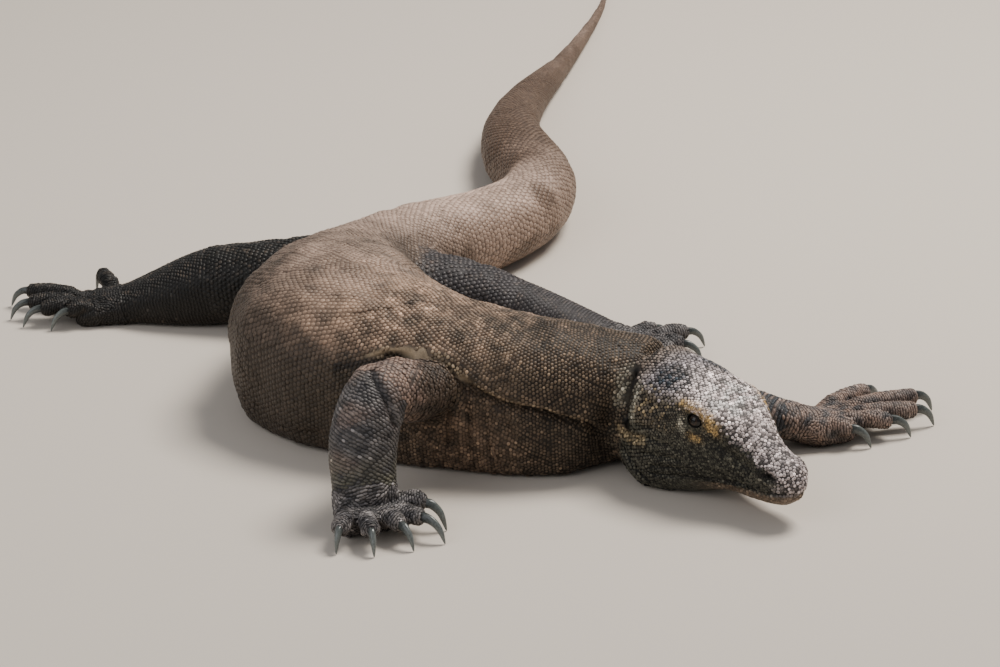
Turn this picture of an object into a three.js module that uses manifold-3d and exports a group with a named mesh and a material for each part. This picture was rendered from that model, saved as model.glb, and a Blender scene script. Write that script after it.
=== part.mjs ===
// A Komodo dragon (Varanus komodoensis) lying on level ground, life size, as a still model.
// Units are millimetres, +Z is up and the ground is z = 0. The tail trails away along +Y, the head is
// turned towards +X, and the origin lies on the ground under the middle of the animal's box.
import * as THREE from "three";
import { mergeVertices } from "three/addons/utils/BufferGeometryUtils.js";
import Module from "manifold-3d";

const wasm = await Module();
wasm.setup();

const vec = (x, y, z) => new THREE.Vector3(x, y, z);

// ---- Driving dimensions ------------------------------------------------------------------------

const GAP = 0.3; // the parting between two neighbouring parts
const BOX_CENTRE = vec(-49, 996.6, 0); // the middle of the animal's box, where it was drawn

// The head frame has its origin between the ears on the mouth's line, +X to the nose, +Y to the
// animal's left and +Z to the crown.
const HEAD_ORIGIN = vec(176, 205, 88);
const HEAD_YAW = 50; // degrees from +X towards -Y
const HEAD_PITCH = 13.5; // degrees, nose down
const NAPE = -22; // where the head is parted from the neck
const MOUTH_FRONT = vec(205, 0, -4);
const MOUTH_CORNER = vec(62, 0, -53);

const EYE_RADIUS = 9.5;
const EYE_CENTRE = vec(80, 37, 23);

const FINGER_THICK = 9.8;
const TOE_THICK = 9.5;
const CLAW_REACH = 25; // from the last joint to the point of the claw, over the ground

const COLOURS = {
  hide: { color: 0x4a443d, roughness: 0.75, metalness: 0 },
  head: { color: 0x57534f, roughness: 0.7, metalness: 0 },
  limb: { color: 0x35353a, roughness: 0.75, metalness: 0 },
  claw: { color: 0x3c4046, roughness: 0.4, metalness: 0 },
  eye: { color: 0x14100c, roughness: 0.1, metalness: 0 },
};

// Stations along the body. half is the half width, rise and drop are the heights above and below
// the middle line, square is how boxy the section is (2 is an ellipse) and base the same below.
const SPINE = [
  { name: "skull", x: 160, y: 222, z: 88, half: 55, rise: 48, drop: 84, base: 3 },
  { name: "nape", x: 130, y: 238, z: 84, half: 62, rise: 55, drop: 92, base: 3.2 },
  { name: "throat", x: 88, y: 238, z: 81, half: 68, rise: 68, drop: 96, base: 3.2 },
  { name: "neck_root", x: 35, y: 240, z: 80, half: 76, rise: 75, drop: 98, square: 2.3, base: 3.2 },
  { name: "shoulder", x: -38, y: 266, z: 80, half: 88, rise: 79, drop: 100, square: 2.3, base: 3.2 },
  { name: "chest", x: -108, y: 308, z: 80, half: 110, rise: 84, drop: 104, square: 2.3, base: 3.2 },
  { name: "ribs", x: -168, y: 372, z: 81, half: 127, rise: 88, drop: 108, square: 2.3, base: 3.2 },
  { name: "belly", x: -177, y: 448, z: 79, half: 110, rise: 86, drop: 104, square: 2.3, base: 3.2 },
  { name: "flank", x: -177, y: 524, z: 74, half: 90, rise: 74, drop: 90, square: 2.2, base: 3 },
  { name: "loin", x: -158, y: 604, z: 68, half: 70, rise: 62, drop: 76, square: 2.1, base: 2.6 },
  { name: "vent", x: -126, y: 678, z: 62, half: 62, rise: 56, drop: 66, square: 2.1 },
  { name: "tail_root", x: -80, y: 745, z: 57, half: 58, rise: 52, drop: 59 },
  { name: "tail_a", x: -22, y: 812, z: 51, half: 53, rise: 48, drop: 53 },
  { name: "tail_b", x: 28, y: 890, z: 47, half: 49, rise: 46, drop: 49 },
  { name: "tail_c", x: 50, y: 990, z: 43, half: 46, rise: 45, drop: 45 },
  { name: "tail_d", x: 28, y: 1105, z: 39, half: 49, rise: 42, drop: 42 },
  { name: "tail_e", x: 14, y: 1225, z: 35, half: 38, rise: 37, drop: 37 },
  { name: "tail_f", x: 36, y: 1385, z: 28, half: 26, rise: 29, drop: 30 },
  { name: "tail_g", x: 80, y: 1560, z: 18, half: 14, rise: 19, drop: 19 },
  { name: "tail_h", x: 118, y: 1740, z: 11, half: 9, rise: 12, drop: 12 },
  { name: "tail_i", x: 145, y: 1890, z: 7, half: 6, rise: 7, drop: 8 },
  { name: "tail_tip", x: 158, y: 2010, z: 4, half: 3, rise: 3, drop: 4 },
];

// The named lengths of the body, each from one station to another.
const BODY_PARTS = [
  { name: "neck", from: "skull", to: "neck_root" },
  { name: "shoulders", from: "neck_root", to: "chest" },
  { name: "belly", from: "chest", to: "flank" },
  { name: "hips", from: "flank", to: "tail_root" },
  { name: "tail_1", from: "tail_root", to: "tail_c" },
  { name: "tail_2", from: "tail_c", to: "tail_e" },
  { name: "tail_3", from: "tail_e", to: "tail_g" },
  { name: "tail_4", from: "tail_g", to: "tail_tip" },
];

// Stations along the head, in the head frame. pinch narrows the top of the section.
const HEAD = [
  { name: "nape", x: -34, half: 52, rise: 46, drop: 84, pinch: 0.12, base: 3.2 },
  { name: "ear", x: 0, half: 56, rise: 48, drop: 88, pinch: 0.15, base: 3.4 },
  { name: "temple", x: 30, half: 58, rise: 50, drop: 88, square: 2.3, pinch: 0.15, base: 3.4 },
  { name: "cheek", x: 60, half: 53, rise: 49, drop: 82, square: 2.5, pinch: 0.1, base: 3.2 },
  { name: "eye", x: 90, half: 45, rise: 46, drop: 66, square: 2.8, pinch: 0.06, base: 2.8 },
  { name: "lore", x: 120, half: 37, rise: 39, drop: 49, square: 2.8, pinch: 0.1, base: 2.3 },
  { name: "snout", x: 150, half: 29, rise: 29, drop: 41, square: 2.5, pinch: 0.25, base: 2.2 },
  { name: "nostril", x: 176, half: 26, rise: 24, drop: 32, square: 2.4, pinch: 0.2, base: 2.2 },
  { name: "lip", x: 193, half: 20, rise: 19, drop: 24, square: 2.2, pinch: 0.1 },
  { name: "tip", x: 202, half: 11, rise: 10, drop: 14 },
].map((row) => ({ y: 0, z: 0, ...row }));

// Swellings of the head, in the head frame on the left and mirrored to the right.
const HEAD_FORM = [
  { name: "brow", at: vec(76, 40, 40), reach: 18, push: vec(0, 3, 5) },
  { name: "front brow", at: vec(108, 36, 37), reach: 14, push: vec(0, 3, 4) },
  { name: "between the brows", at: vec(92, 0, 46), reach: 20, push: vec(0, 0, -3) },
  { name: "eye hollow", at: vec(82, 46, 22), reach: 13, push: vec(0, -4, 0) },
  { name: "jaw muscle", at: vec(34, 52, 10), reach: 26, push: vec(0, 4, 0) },
  { name: "throat pouch", at: vec(36, 56, -64), reach: 40, push: vec(0, 11, -4) },
  { name: "nostril", at: vec(181, 22, 12), reach: 10, push: vec(0, 2, 2) },
];

// ---- Curves ------------------------------------------------------------------------------------

// One column of a list of stations at position u, on a smooth curve through the rows.
function valueAt(stations, key, u) {
  const last = stations.length - 1;
  const i = Math.min(Math.floor(u), last - 1);
  const read = (k) => stations[THREE.MathUtils.clamp(k, 0, last)][key];
  const [a, b, c, d] = [read(i - 1), read(i), read(i + 1), read(i + 2)];
  const t = u - i;
  const leave = (c - a) / 2;
  const arrive = (d - b) / 2;
  return (
    (2 * t ** 3 - 3 * t ** 2 + 1) * b +
    (t ** 3 - 2 * t ** 2 + t) * leave +
    (3 * t ** 2 - 2 * t ** 3) * c +
    (t ** 3 - t ** 2) * arrive
  );
}

// A signed power, which squares off a circle into a superellipse.
const bulge = (x, power) => Math.sign(x) * Math.abs(x) ** power;

// ---- Lofts -------------------------------------------------------------------------------------

// A closed tube through stations. A unit sphere gives the rows of vertices, and each row is carried
// to its place on the middle line and stretched to the section there. "across" holds the section's
// width direction on a line that turns downwards. caps are how far the two ends bulge, and inset is
// how far a flat end is drawn back to leave a parting.
function loft({ stations, from = 0, to, around, steps, across, caps = [0, 0], inset = [0, 0], grow = 0 }) {
  const rows = stations.map((row) => {
    const { rise, square = 2 } = row;
    return { square, base: square, pinch: 0, drop: rise, ...row };
  });
  const last = to ?? rows.length - 1;
  const path = new THREE.CatmullRomCurve3(rows.map((row) => vec(row.x, row.y, row.z)));
  const rings = Math.round((last - from) * steps) + 1;
  const sphere = new THREE.SphereGeometry(1, around, rings + 1);
  const { position, uv } = sphere.attributes;
  for (let i = 0; i < position.count; i++) {
    const row = Math.round((1 - uv.getY(i)) * (rings + 1));
    const ring = THREE.MathUtils.clamp(row, 1, rings) - 1;
    const u = from + ((last - from) * ring) / (rings - 1);
    const centre = path.getPoint(u / (rows.length - 1));
    const heading = path.getTangent(u / (rows.length - 1));
    const side = across
      ? across.clone().projectOnPlane(heading).normalize()
      : vec(0, 0, 1).cross(heading).normalize();
    const top = heading.clone().cross(side);
    if (ring === 0) centre.addScaledVector(heading, inset[0] - grow);
    if (ring === rings - 1) centre.addScaledVector(heading, grow - inset[1]);
    if (row === 0) {
      centre.addScaledVector(heading, -caps[0]);
    } else if (row === rings + 1) {
      centre.addScaledVector(heading, caps[1]);
    } else {
      const angle = Math.round(uv.getX(i) * around) * ((2 * Math.PI) / around);
      const [c, h] = [Math.cos(angle), Math.sin(angle)];
      const power = 2 / valueAt(rows, h > 0 ? "square" : "base", u);
      const height = valueAt(rows, h > 0 ? "rise" : "drop", u) + grow;
      const pinch = 1 - valueAt(rows, "pinch", u) * Math.max(0, h) ** 2;
      centre.addScaledVector(side, (valueAt(rows, "half", u) + grow) * pinch * bulge(c, power));
      centre.addScaledVector(top, height * bulge(h, power));
    }
    position.setXYZ(i, centre.x, centre.y, centre.z);
  }
  return sphere;
}

// ---- Solids ------------------------------------------------------------------------------------

// A geometry's closed solid, turned so that its faces point out.
function solidOf(geometry) {
  geometry.deleteAttribute("normal");
  geometry.deleteAttribute("uv");
  const merged = mergeVertices(geometry, 1e-3);
  const faces = [];
  for (let i = 0; i < merged.index.count; i += 3) {
    const [a, b, c] = merged.index.array.subarray(i, i + 3);
    if (a !== b && b !== c && a !== c) faces.push(a, b, c);
  }
  const vertProperties = new Float32Array(merged.attributes.position.array);
  const solid = (list) =>
    new wasm.Manifold(new wasm.Mesh({ numProp: 3, vertProperties, triVerts: new Uint32Array(list) }));
  const first = solid(faces);
  return first.volume() > 0 ? first : solid(faces.reverse());
}

// A block that fills the space on the side of a plane that its normal points to.
function beyond(point, normal, offset = 0) {
  const size = 6000;
  const box = new THREE.BoxGeometry(size, size, size);
  box.translate(0, 0, size / 2 + offset);
  box.applyQuaternion(new THREE.Quaternion().setFromUnitVectors(vec(0, 0, 1), normal));
  box.translate(point.x, point.y, point.z);
  return solidOf(box);
}

const UNDERGROUND = beyond(vec(0, 0, 0), vec(0, 0, -1));

// The largest of the separate bodies in a solid.
function largest(solid) {
  return solid.decompose().sort((a, b) => b.volume() - a.volume())[0];
}

const group = new THREE.Group();

// Adds a solid to the model as a named mesh, cut off flat at the ground.
function addPart(name, solid, look) {
  const mesh = largest(solid.subtract(UNDERGROUND)).getMesh();
  const points = new Float32Array(mesh.numVert * 3);
  for (let i = 0; i < mesh.numVert; i++) {
    const start = i * mesh.numProp;
    points.set(mesh.vertProperties.subarray(start, start + 3), i * 3);
  }
  const geometry = new THREE.BufferGeometry();
  geometry.setAttribute("position", new THREE.BufferAttribute(points, 3));
  geometry.setIndex(new THREE.BufferAttribute(mesh.triVerts, 1));
  geometry.translate(-BOX_CENTRE.x, -BOX_CENTRE.y, -BOX_CENTRE.z);
  const part = new THREE.Mesh(geometry, new THREE.MeshStandardMaterial(COLOURS[look]));
  part.name = name;
  group.add(part);
}

// ---- Neck, trunk and tail ----------------------------------------------------------------------

const stationNumber = (name) => SPINE.findIndex((row) => row.name === name);
const bodyAll = { stations: SPINE, around: 20, steps: 2 };
const bodyGrown = solidOf(loft({ ...bodyAll, grow: GAP }));

const bodySolids = BODY_PARTS.map(({ name, from, to }, i) => ({
  name,
  solid: solidOf(
    loft({
      ...bodyAll,
      from: stationNumber(from),
      to: stationNumber(to),
      inset: [i === 0 ? 0 : GAP / 2, i === BODY_PARTS.length - 1 ? 0 : GAP / 2],
      caps: [0, i === BODY_PARTS.length - 1 ? 4 : 0],
    }),
  ),
}));

// ---- Head --------------------------------------------------------------------------------------

const headTurn = new THREE.Quaternion().setFromEuler(
  new THREE.Euler(0, THREE.MathUtils.degToRad(HEAD_PITCH), THREE.MathUtils.degToRad(-HEAD_YAW), "ZYX"),
);
const inHead = (point) => point.clone().applyQuaternion(headTurn).add(HEAD_ORIGIN);
const headAhead = vec(1, 0, 0).applyQuaternion(headTurn);

// Moves a geometry from the head frame to its place.
function placeHead(geometry) {
  geometry.applyQuaternion(headTurn);
  geometry.translate(HEAD_ORIGIN.x, HEAD_ORIGIN.y, HEAD_ORIGIN.z);
  return geometry;
}

// Pushes the swellings out of a geometry in the head frame, on both sides.
function swell(geometry) {
  const { position } = geometry.attributes;
  const mirror = vec(1, -1, 1);
  for (let i = 0; i < position.count; i++) {
    const point = vec().fromBufferAttribute(position, i);
    const moved = point.clone();
    for (const { at, reach, push } of HEAD_FORM) {
      const left = Math.exp(-((point.distanceTo(at) / reach) ** 2));
      moved.addScaledVector(push, left);
      if (at.y === 0) continue;
      const right = Math.exp(-((point.distanceTo(at.clone().multiply(mirror)) / reach) ** 2));
      moved.addScaledVector(push.clone().multiply(mirror), right);
    }
    position.setXYZ(i, moved.x, moved.y, moved.z);
  }
  return geometry;
}

const headWhole = solidOf(
  placeHead(swell(loft({ stations: HEAD, around: 24, steps: 2, caps: [0, 3] }))),
);
const inFrontOfNape = (offset) => beyond(inHead(vec(NAPE, 0, 0)), headAhead, offset);

// A block of the head frame under the mouth's line and in front of the mouth's corner.
function underMouth(extra) {
  const size = 300;
  const line = MOUTH_FRONT.clone().sub(MOUTH_CORNER).normalize();
  const box = new THREE.BoxGeometry(size, size, size);
  box.translate(size / 2 - extra, 0, -size / 2 + extra);
  box.applyQuaternion(new THREE.Quaternion().setFromUnitVectors(vec(1, 0, 0), line));
  box.translate(MOUTH_CORNER.x, 0, MOUTH_CORNER.z);
  return solidOf(placeHead(box));
}

const eyeBall = (side, radius) => {
  const ball = new THREE.SphereGeometry(radius, 12, 8);
  ball.translate(EYE_CENTRE.x, side * EYE_CENTRE.y, EYE_CENTRE.z);
  return solidOf(placeHead(ball));
};

const skull = headWhole
  .intersect(inFrontOfNape(GAP / 2))
  .subtract(eyeBall(1, EYE_RADIUS + GAP))
  .subtract(eyeBall(-1, EYE_RADIUS + GAP));
addPart("head", skull.subtract(underMouth(GAP / 2)), "head");
addPart("lower_jaw", skull.intersect(underMouth(-GAP / 2)), "head");
addPart("eye_left", eyeBall(1, EYE_RADIUS), "eye");
addPart("eye_right", eyeBall(-1, EYE_RADIUS), "eye");

for (const { name, solid } of bodySolids) {
  addPart(name, name === "neck" ? solid.subtract(inFrontOfNape(-GAP / 2)) : solid, "hide");
}

// ---- Limbs -------------------------------------------------------------------------------------

// One digit and its claw. The digit leaves the foot at "base" and arches over a joint at height
// "lift"; the claw curves down from its end to "tip" on the ground.
function digit({ base, tip, lift = 24, end = 21, thick, claw = CLAW_REACH, stout = 1 }) {
  const ground = vec(tip[0], tip[1], 0);
  const start = vec(...base);
  const ahead = ground.clone().sub(start).setZ(0).normalize();
  const across = vec(0, 0, 1).cross(ahead);
  const last = ground.clone().addScaledVector(ahead, -claw).setZ(end);
  const between = (t, z) => start.clone().lerp(last, t).setZ(z);
  const station = (point, half) => ({ ...point, half, rise: half });
  const shape = {
    stations: [
      station(start, thick),
      station(between(0.4, lift), thick),
      station(between(0.75, lift * 0.94), thick * 0.85),
      station(last, thick * 0.72),
    ],
    around: 7,
    steps: 4 / 3,
    across,
    caps: [3, 3],
  };
  const bend = new THREE.QuadraticBezierCurve3(
    last.clone().addScaledVector(ahead, -3).setZ(end + 1),
    last.clone().addScaledVector(ahead, claw * 0.85).setZ(end + 5),
    ground.clone().setZ(1),
  );
  const size = [4.6, 4.4, 3.4, 0.8].map((half) => half * stout);
  const nail = {
    stations: [0, 0.33, 0.67, 1].map((t, i) => {
      const point = bend.getPoint(t);
      return { ...point, half: size[i] * 0.8, rise: size[i] * 1.1, drop: size[i] };
    }),
    around: 6,
    steps: 1,
    across,
    caps: [1, 0.6],
  };
  return {
    toe: solidOf(loft(shape)),
    nail: solidOf(loft(nail)).subtract(solidOf(loft({ ...shape, grow: GAP }))),
  };
}

// A limb: one tube from inside the body to the knuckles, parted in its middle joint and in the wrist
// or ankle, with five digits joined to the foot. Each part keeps clear of the one before it, also
// where a sharp bend folds the two against each other.
function addLimb({ names, stations, joint, wrist, across, digits, thick, stout = 1 }) {
  const shape = { stations, around: 12, steps: 2, across };
  const upper = { ...shape, to: joint, inset: [0, GAP / 2] };
  const lower = { ...shape, from: joint, to: wrist, inset: [GAP / 2, GAP / 2] };
  const pad = { ...shape, from: wrist, inset: [GAP / 2, 0], caps: [0, 4] };
  const solid = (piece) => solidOf(loft(piece));
  const grown = (piece) => solidOf(loft({ ...piece, grow: GAP }));
  const made = digits.map((shape) => digit({ thick, stout, ...shape }));
  const foot = made.reduce((sum, { toe }) => sum.add(toe), solid(pad));
  addPart(names[0], solid(upper).subtract(bodyGrown), "limb");
  addPart(names[1], solid(lower).subtract(bodyGrown).subtract(grown(upper)), "limb");
  addPart(names[2], foot.subtract(grown(lower)), "limb");
  made.forEach(({ nail }, i) => addPart(`${names[2]}_claw_${i + 1}`, nail, "claw"));
}

addLimb({
  names: ["right_upper_arm", "right_forearm", "right_hand"],
  thick: FINGER_THICK,
  stout: 1.18,
  across: vec(1, 0, 0),
  joint: 2,
  wrist: 4,
  stations: [
    { x: -62, y: 228, z: 90, half: 44, rise: 40 },
    { x: -86, y: 168, z: 104, half: 40, rise: 38 },
    { x: -124, y: 112, z: 122, half: 36, rise: 36 },
    { x: -138, y: 84, z: 84, half: 37, rise: 34 },
    { x: -137, y: 62, z: 42, half: 35, rise: 26 },
    { x: -133, y: 48, z: 22, half: 36, rise: 19, drop: 24, base: 2.6 },
    { x: -126, y: 32, z: 15, half: 33, rise: 13, drop: 18, base: 2.6 },
  ],
  digits: [
    { base: [-104, 60, 18], tip: [-54, 45], lift: 32, end: 28 },
    { base: [-108, 46, 16], tip: [-55, 12], claw: 30, end: 23 },
    { base: [-118, 36, 16], tip: [-86, -6] },
    { base: [-136, 32, 16], tip: [-125, -20], claw: 18 },
    { base: [-152, 38, 16], tip: [-163, -13], claw: 16 },
  ],
});

addLimb({
  names: ["left_upper_arm", "left_forearm", "left_hand"],
  thick: FINGER_THICK,
  stout: 1.18,
  joint: 2,
  wrist: 4,
  stations: [
    { x: 20, y: 290, z: 80, half: 40, rise: 36 },
    { x: 90, y: 318, z: 60, half: 36, rise: 33 },
    { x: 165, y: 322, z: 44, half: 31, rise: 30 },
    { x: 235, y: 296, z: 38, half: 30, rise: 27 },
    { x: 300, y: 272, z: 30, half: 26, rise: 22 },
    { x: 335, y: 284, z: 21, half: 31, rise: 16, drop: 24, base: 2.6 },
    { x: 362, y: 300, z: 15, half: 31, rise: 13, drop: 18, base: 2.6 },
  ],
  digits: [
    { base: [338, 268, 15], tip: [393, 262] },
    { base: [358, 284, 15], tip: [438, 292] },
    { base: [364, 300, 15], tip: [466, 325] },
    { base: [358, 314, 15], tip: [468, 368] },
    { base: [340, 316, 15], tip: [412, 390] },
  ],
});

addLimb({
  names: ["right_thigh", "right_shank", "right_foot"],
  thick: TOE_THICK,
  joint: 2,
  wrist: 4,
  stations: [
    { x: -170, y: 632, z: 66, half: 56, rise: 44 },
    { x: -250, y: 638, z: 58, half: 50, rise: 42 },
    { x: -328, y: 648, z: 48, half: 46, rise: 40, drop: 52, base: 2.8 },
    { x: -385, y: 652, z: 33, half: 42, rise: 28, drop: 40, base: 3 },
    { x: -428, y: 652, z: 22, half: 32, rise: 19, drop: 28, base: 3 },
    { x: -458, y: 652, z: 18, half: 36, rise: 16, drop: 22, base: 3 },
    { x: -484, y: 650, z: 14, half: 34, rise: 12, drop: 18, base: 3 },
  ],
  digits: [
    { base: [-466, 630, 14], tip: [-512, 608] },
    { base: [-478, 638, 14], tip: [-545, 620] },
    { base: [-484, 650, 14], tip: [-562, 645] },
    { base: [-478, 666, 14], tip: [-566, 690] },
    { base: [-444, 676, 14], tip: [-472, 738], lift: 30, end: 30 },
  ],
});

addLimb({
  names: ["left_thigh", "left_shank", "left_foot"],
  thick: TOE_THICK,
  joint: 2,
  wrist: 4,
  stations: [
    { x: -110, y: 618, z: 60, half: 50, rise: 40 },
    { x: -42, y: 604, z: 52, half: 44, rise: 36 },
    { x: 24, y: 574, z: 42, half: 38, rise: 31 },
    { x: 84, y: 548, z: 30, half: 32, rise: 24, drop: 34, base: 2.8 },
    { x: 126, y: 534, z: 21, half: 27, rise: 18, drop: 26, base: 2.8 },
    { x: 150, y: 526, z: 17, half: 31, rise: 15, drop: 21, base: 2.8 },
    { x: 170, y: 522, z: 13, half: 31, rise: 11, drop: 17, base: 2.8 },
  ],
  digits: [
    { base: [152, 504, 13], tip: [190, 476] },
    { base: [164, 510, 13], tip: [212, 486] },
    { base: [170, 522, 13], tip: [226, 510] },
    { base: [168, 536, 13], tip: [231, 560] },
    { base: [148, 542, 13], tip: [192, 574] },
  ],
});

export default group;
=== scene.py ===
# %% [markdown]
# # A Komodo dragon at rest
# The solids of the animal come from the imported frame: head, jaw, neck, trunk, tail, four legs, eyes
# and claws. This lesson gives them their looks. One skin is made over all the solids of flesh, then
# folded and creased, and on it grow some forty-seven thousand scales, each a small solid bead. Eyes,
# eyelids and claws are pieces of their own. Blender's lengths are in metres. The places on the skin
# are worked out in millimetres, because a scale is only a few of them wide.

# %% Tools and frame
import math
from types import SimpleNamespace

import bmesh
import bpy
import numpy as np
from mathutils import Euler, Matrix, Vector
from mathutils.bvhtree import BVHTree


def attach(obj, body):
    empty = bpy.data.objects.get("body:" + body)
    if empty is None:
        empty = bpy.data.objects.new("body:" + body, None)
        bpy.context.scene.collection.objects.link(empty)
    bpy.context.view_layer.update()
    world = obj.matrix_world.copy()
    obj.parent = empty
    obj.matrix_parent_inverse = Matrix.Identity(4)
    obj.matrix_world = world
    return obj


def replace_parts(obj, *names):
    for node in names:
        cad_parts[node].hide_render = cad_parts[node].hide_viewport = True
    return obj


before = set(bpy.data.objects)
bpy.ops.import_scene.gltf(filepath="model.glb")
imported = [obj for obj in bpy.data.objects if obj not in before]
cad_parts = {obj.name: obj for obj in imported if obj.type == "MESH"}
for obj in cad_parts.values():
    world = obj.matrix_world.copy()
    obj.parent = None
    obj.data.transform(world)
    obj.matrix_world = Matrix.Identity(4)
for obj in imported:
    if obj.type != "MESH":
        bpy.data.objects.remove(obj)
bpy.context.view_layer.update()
MM = 0.001
# The least heights over the ground, in millimetres, of skin, scales and claws.
SKIN_LOW, SCALE_LOW, CLAW_LOW = 0.9, 0.05, 0.1
FAR = 1e9
chance = np.random.default_rng(7)
print("frame:", len(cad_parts), "nodes")

# %% [markdown]
# ## The camera, the floor and the light
# The camera stands far in front of the animal with a long lens and looks down at it. A long lens keeps
# the tail from shrinking too fast with distance. Two wide area lights are as soft as studio boxes: the
# strong one, behind and above, gives the dusty tops of the scales their shine, and the weak one fills
# the shadows in front.

# %% Camera
def placed(name, data):
    """Puts a mesh, a lamp or a camera in the scene."""
    thing = bpy.data.objects.new(name, data)
    bpy.context.scene.collection.objects.link(thing)
    return thing


camera = placed("camera", bpy.data.cameras.new("camera"))
camera.data.lens = 144
camera.data.sensor_width = 36
camera.data.clip_end = 100
camera.location = (0.049, -4.6486, 1.633)
camera.rotation_euler = (math.radians(69), 0, 0)
bpy.context.scene.camera = camera


# %% Floor and lights
def linear(r, g, b):
    """A colour as a paint chart gives it, 0 to 255, made linear for the shaders."""
    return tuple(((c / 255 + 0.055) / 1.055) ** 2.4 if c > 10 else c / 3294.6 for c in (r, g, b))


def new_material(name):
    """An empty node material, its nodes and its shader."""
    material = bpy.data.materials.new(name)
    material.use_nodes = True
    return material, material.node_tree, material.node_tree.nodes["Principled BSDF"]


def wire(node, sockets):
    """Links inputs of a node to the outputs of others, or sets them to plain values."""
    for key, value in sockets.items():
        if isinstance(value, bpy.types.NodeSocket):
            node.id_data.links.new(value, node.inputs[key])
        else:
            node.inputs[key].default_value = value


def mesh_from(bm, name):
    """The mesh that a bmesh has become."""
    mesh = bpy.data.meshes.new(name)
    bm.to_mesh(mesh)
    bm.free()
    return mesh


def area_light(name, size, power, place, aim, colour):
    """A square soft light at a place, turned towards a point."""
    light = placed(name, bpy.data.lights.new(name, "AREA"))
    light.data.size = size
    light.data.energy = power
    light.data.color = colour
    light.location = place
    light.rotation_euler = (Vector(aim) - Vector(place)).to_track_quat("-Z", "Y").to_euler()


bm = bmesh.new()
bmesh.ops.create_grid(bm, x_segments=1, y_segments=1, size=30)
floor = placed("floor", mesh_from(bm, "floor"))
pale, _, shader = new_material("pale_floor")
wire(shader, {"Base Color": (*linear(214, 204, 192), 1), "Roughness": 0.9})
floor.data.materials.append(pale)
area_light("key", 1.5, 188, (1.5, 0.5, 3.3), (0, -0.3, 0), (1.0, 0.95, 0.88))
area_light("fill", 3.0, 48, (-2.4, -2.8, 2.2), (0, -0.4, 0), (0.96, 0.97, 1.0))
world = bpy.data.worlds.new("studio")
world.use_nodes = True
wire(world.node_tree.nodes["Background"], {"Color": (0.96, 0.97, 1.0, 1), "Strength": 0.29})
bpy.context.scene.world = world
print("camera, floor and lights are set")

# %% [markdown]
# ## The bones that the skin is measured from
# Scales run in rows round the neck, trunk, tail and legs, so every point of the skin needs to know
# which way its part of the body runs. A few lines of points through the middles of the parts say
# that, in millimetres. The head has a frame of its own: +X to the nose, +Y to its left, +Z to the
# crown.

# %% Middle lines
HEAD_TURN = np.array(Euler((0, math.radians(13.5), math.radians(-50)), "XYZ").to_matrix())
HEAD_AT = np.array((225.0, -791.6, 88.0))
SIDES = {1: "left", -1: "right"}


def from_head(points):
    """Points of the head frame, in millimetres, in the frame of the whole animal."""
    return np.asarray(points, float) @ HEAD_TURN.T + HEAD_AT


def to_head(points):
    """Points of the whole animal, in millimetres, in the head frame."""
    return (np.asarray(points, float) - HEAD_AT) @ HEAD_TURN


LINES = {
    "head": [tuple(p) for p in from_head([(205, 0, 0), (100, 0, -10), (0, 0, -15), (-60, 0, -15)])],
    "trunk": [
        (209, -775, 80), (179, -759, 78), (137, -759, 72), (84, -757, 70), (11, -731, 70),
        (-59, -689, 72), (-119, -625, 74), (-128, -549, 72), (-128, -473, 68), (-109, -393, 62),
        (-77, -319, 56), (-31, -252, 52),
    ],
    "tail": [
        (-77, -319, 60), (-31, -252, 57), (27, -185, 51), (77, -107, 47), (99, -7, 43), (77, 108, 39),
        (63, 228, 35), (85, 388, 28), (129, 563, 18), (167, 743, 11), (194, 893, 7), (207, 1013, 4),
    ],
    "right_upper_arm": [(-13, -769, 90), (-37, -829, 104), (-75, -885, 118)],
    "right_forearm": [(-80, -895, 125), (-89, -913, 84), (-88, -935, 42), (-84, -949, 24)],
    "left_upper_arm": [(69, -707, 80), (139, -679, 60), (214, -675, 44)],
    "left_forearm": [(214, -675, 44), (284, -701, 38), (349, -725, 30)],
    "right_thigh": [(-77, -365, 66), (-201, -359, 58), (-279, -349, 48)],
    "right_shank": [(-279, -349, 48), (-336, -345, 33), (-379, -345, 22)],
    "left_thigh": [(-61, -379, 60), (7, -393, 52), (73, -423, 42)],
    "left_shank": [(73, -423, 42), (133, -449, 30), (175, -463, 21)],
}
WRISTS = {
    "right_hand": [(-87, -942, 30), (-81, -955, 18)],
    "left_hand": [(360, -724, 28), (390, -706, 17)],
    "right_foot": [(-385, -345, 22), (-420, -347, 16)],
    "left_foot": [(180, -465, 20), (206, -473, 15)],
}
DIGITS = {
    "right_hand": [((-55, -937, 18), (-28, -944, 28)), ((-59, -951, 16), (-30, -970, 23)),
                   ((-69, -961, 16), (-49, -982, 21)), ((-87, -965, 16), (-80, -1000, 21)),
                   ((-103, -959, 16), (-111, -994, 21))],
    "left_hand": [((387, -729, 15), (417, -732, 21)), ((407, -713, 15), (462, -708, 21)),
                  ((413, -697, 15), (491, -678, 21)), ((407, -683, 15), (495, -640, 21)),
                  ((389, -681, 15), (443, -625, 21))],
    "right_foot": [((-417, -367, 14), (-440, -379, 21)), ((-429, -359, 14), (-472, -371, 21)),
                   ((-435, -347, 14), (-488, -350, 21)), ((-429, -331, 14), (-494, -313, 21)),
                   ((-395, -321, 14), (-412, -281, 30))],
    "left_foot": [((201, -493, 13), (217, -507, 21)), ((213, -487, 13), (238, -499, 21)),
                  ((219, -475, 13), (251, -482, 21)), ((217, -461, 13), (257, -446, 21)),
                  ((197, -455, 13), (223, -435, 21))],
}
for foot, digits in DIGITS.items():
    LINES[foot] = WRISTS[foot]
    for number, (root, end) in enumerate(digits, 1):
        LINES[f"{foot}_{number}"] = [WRISTS[foot][1], root, end]
LINE_NAMES = list(LINES)
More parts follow.
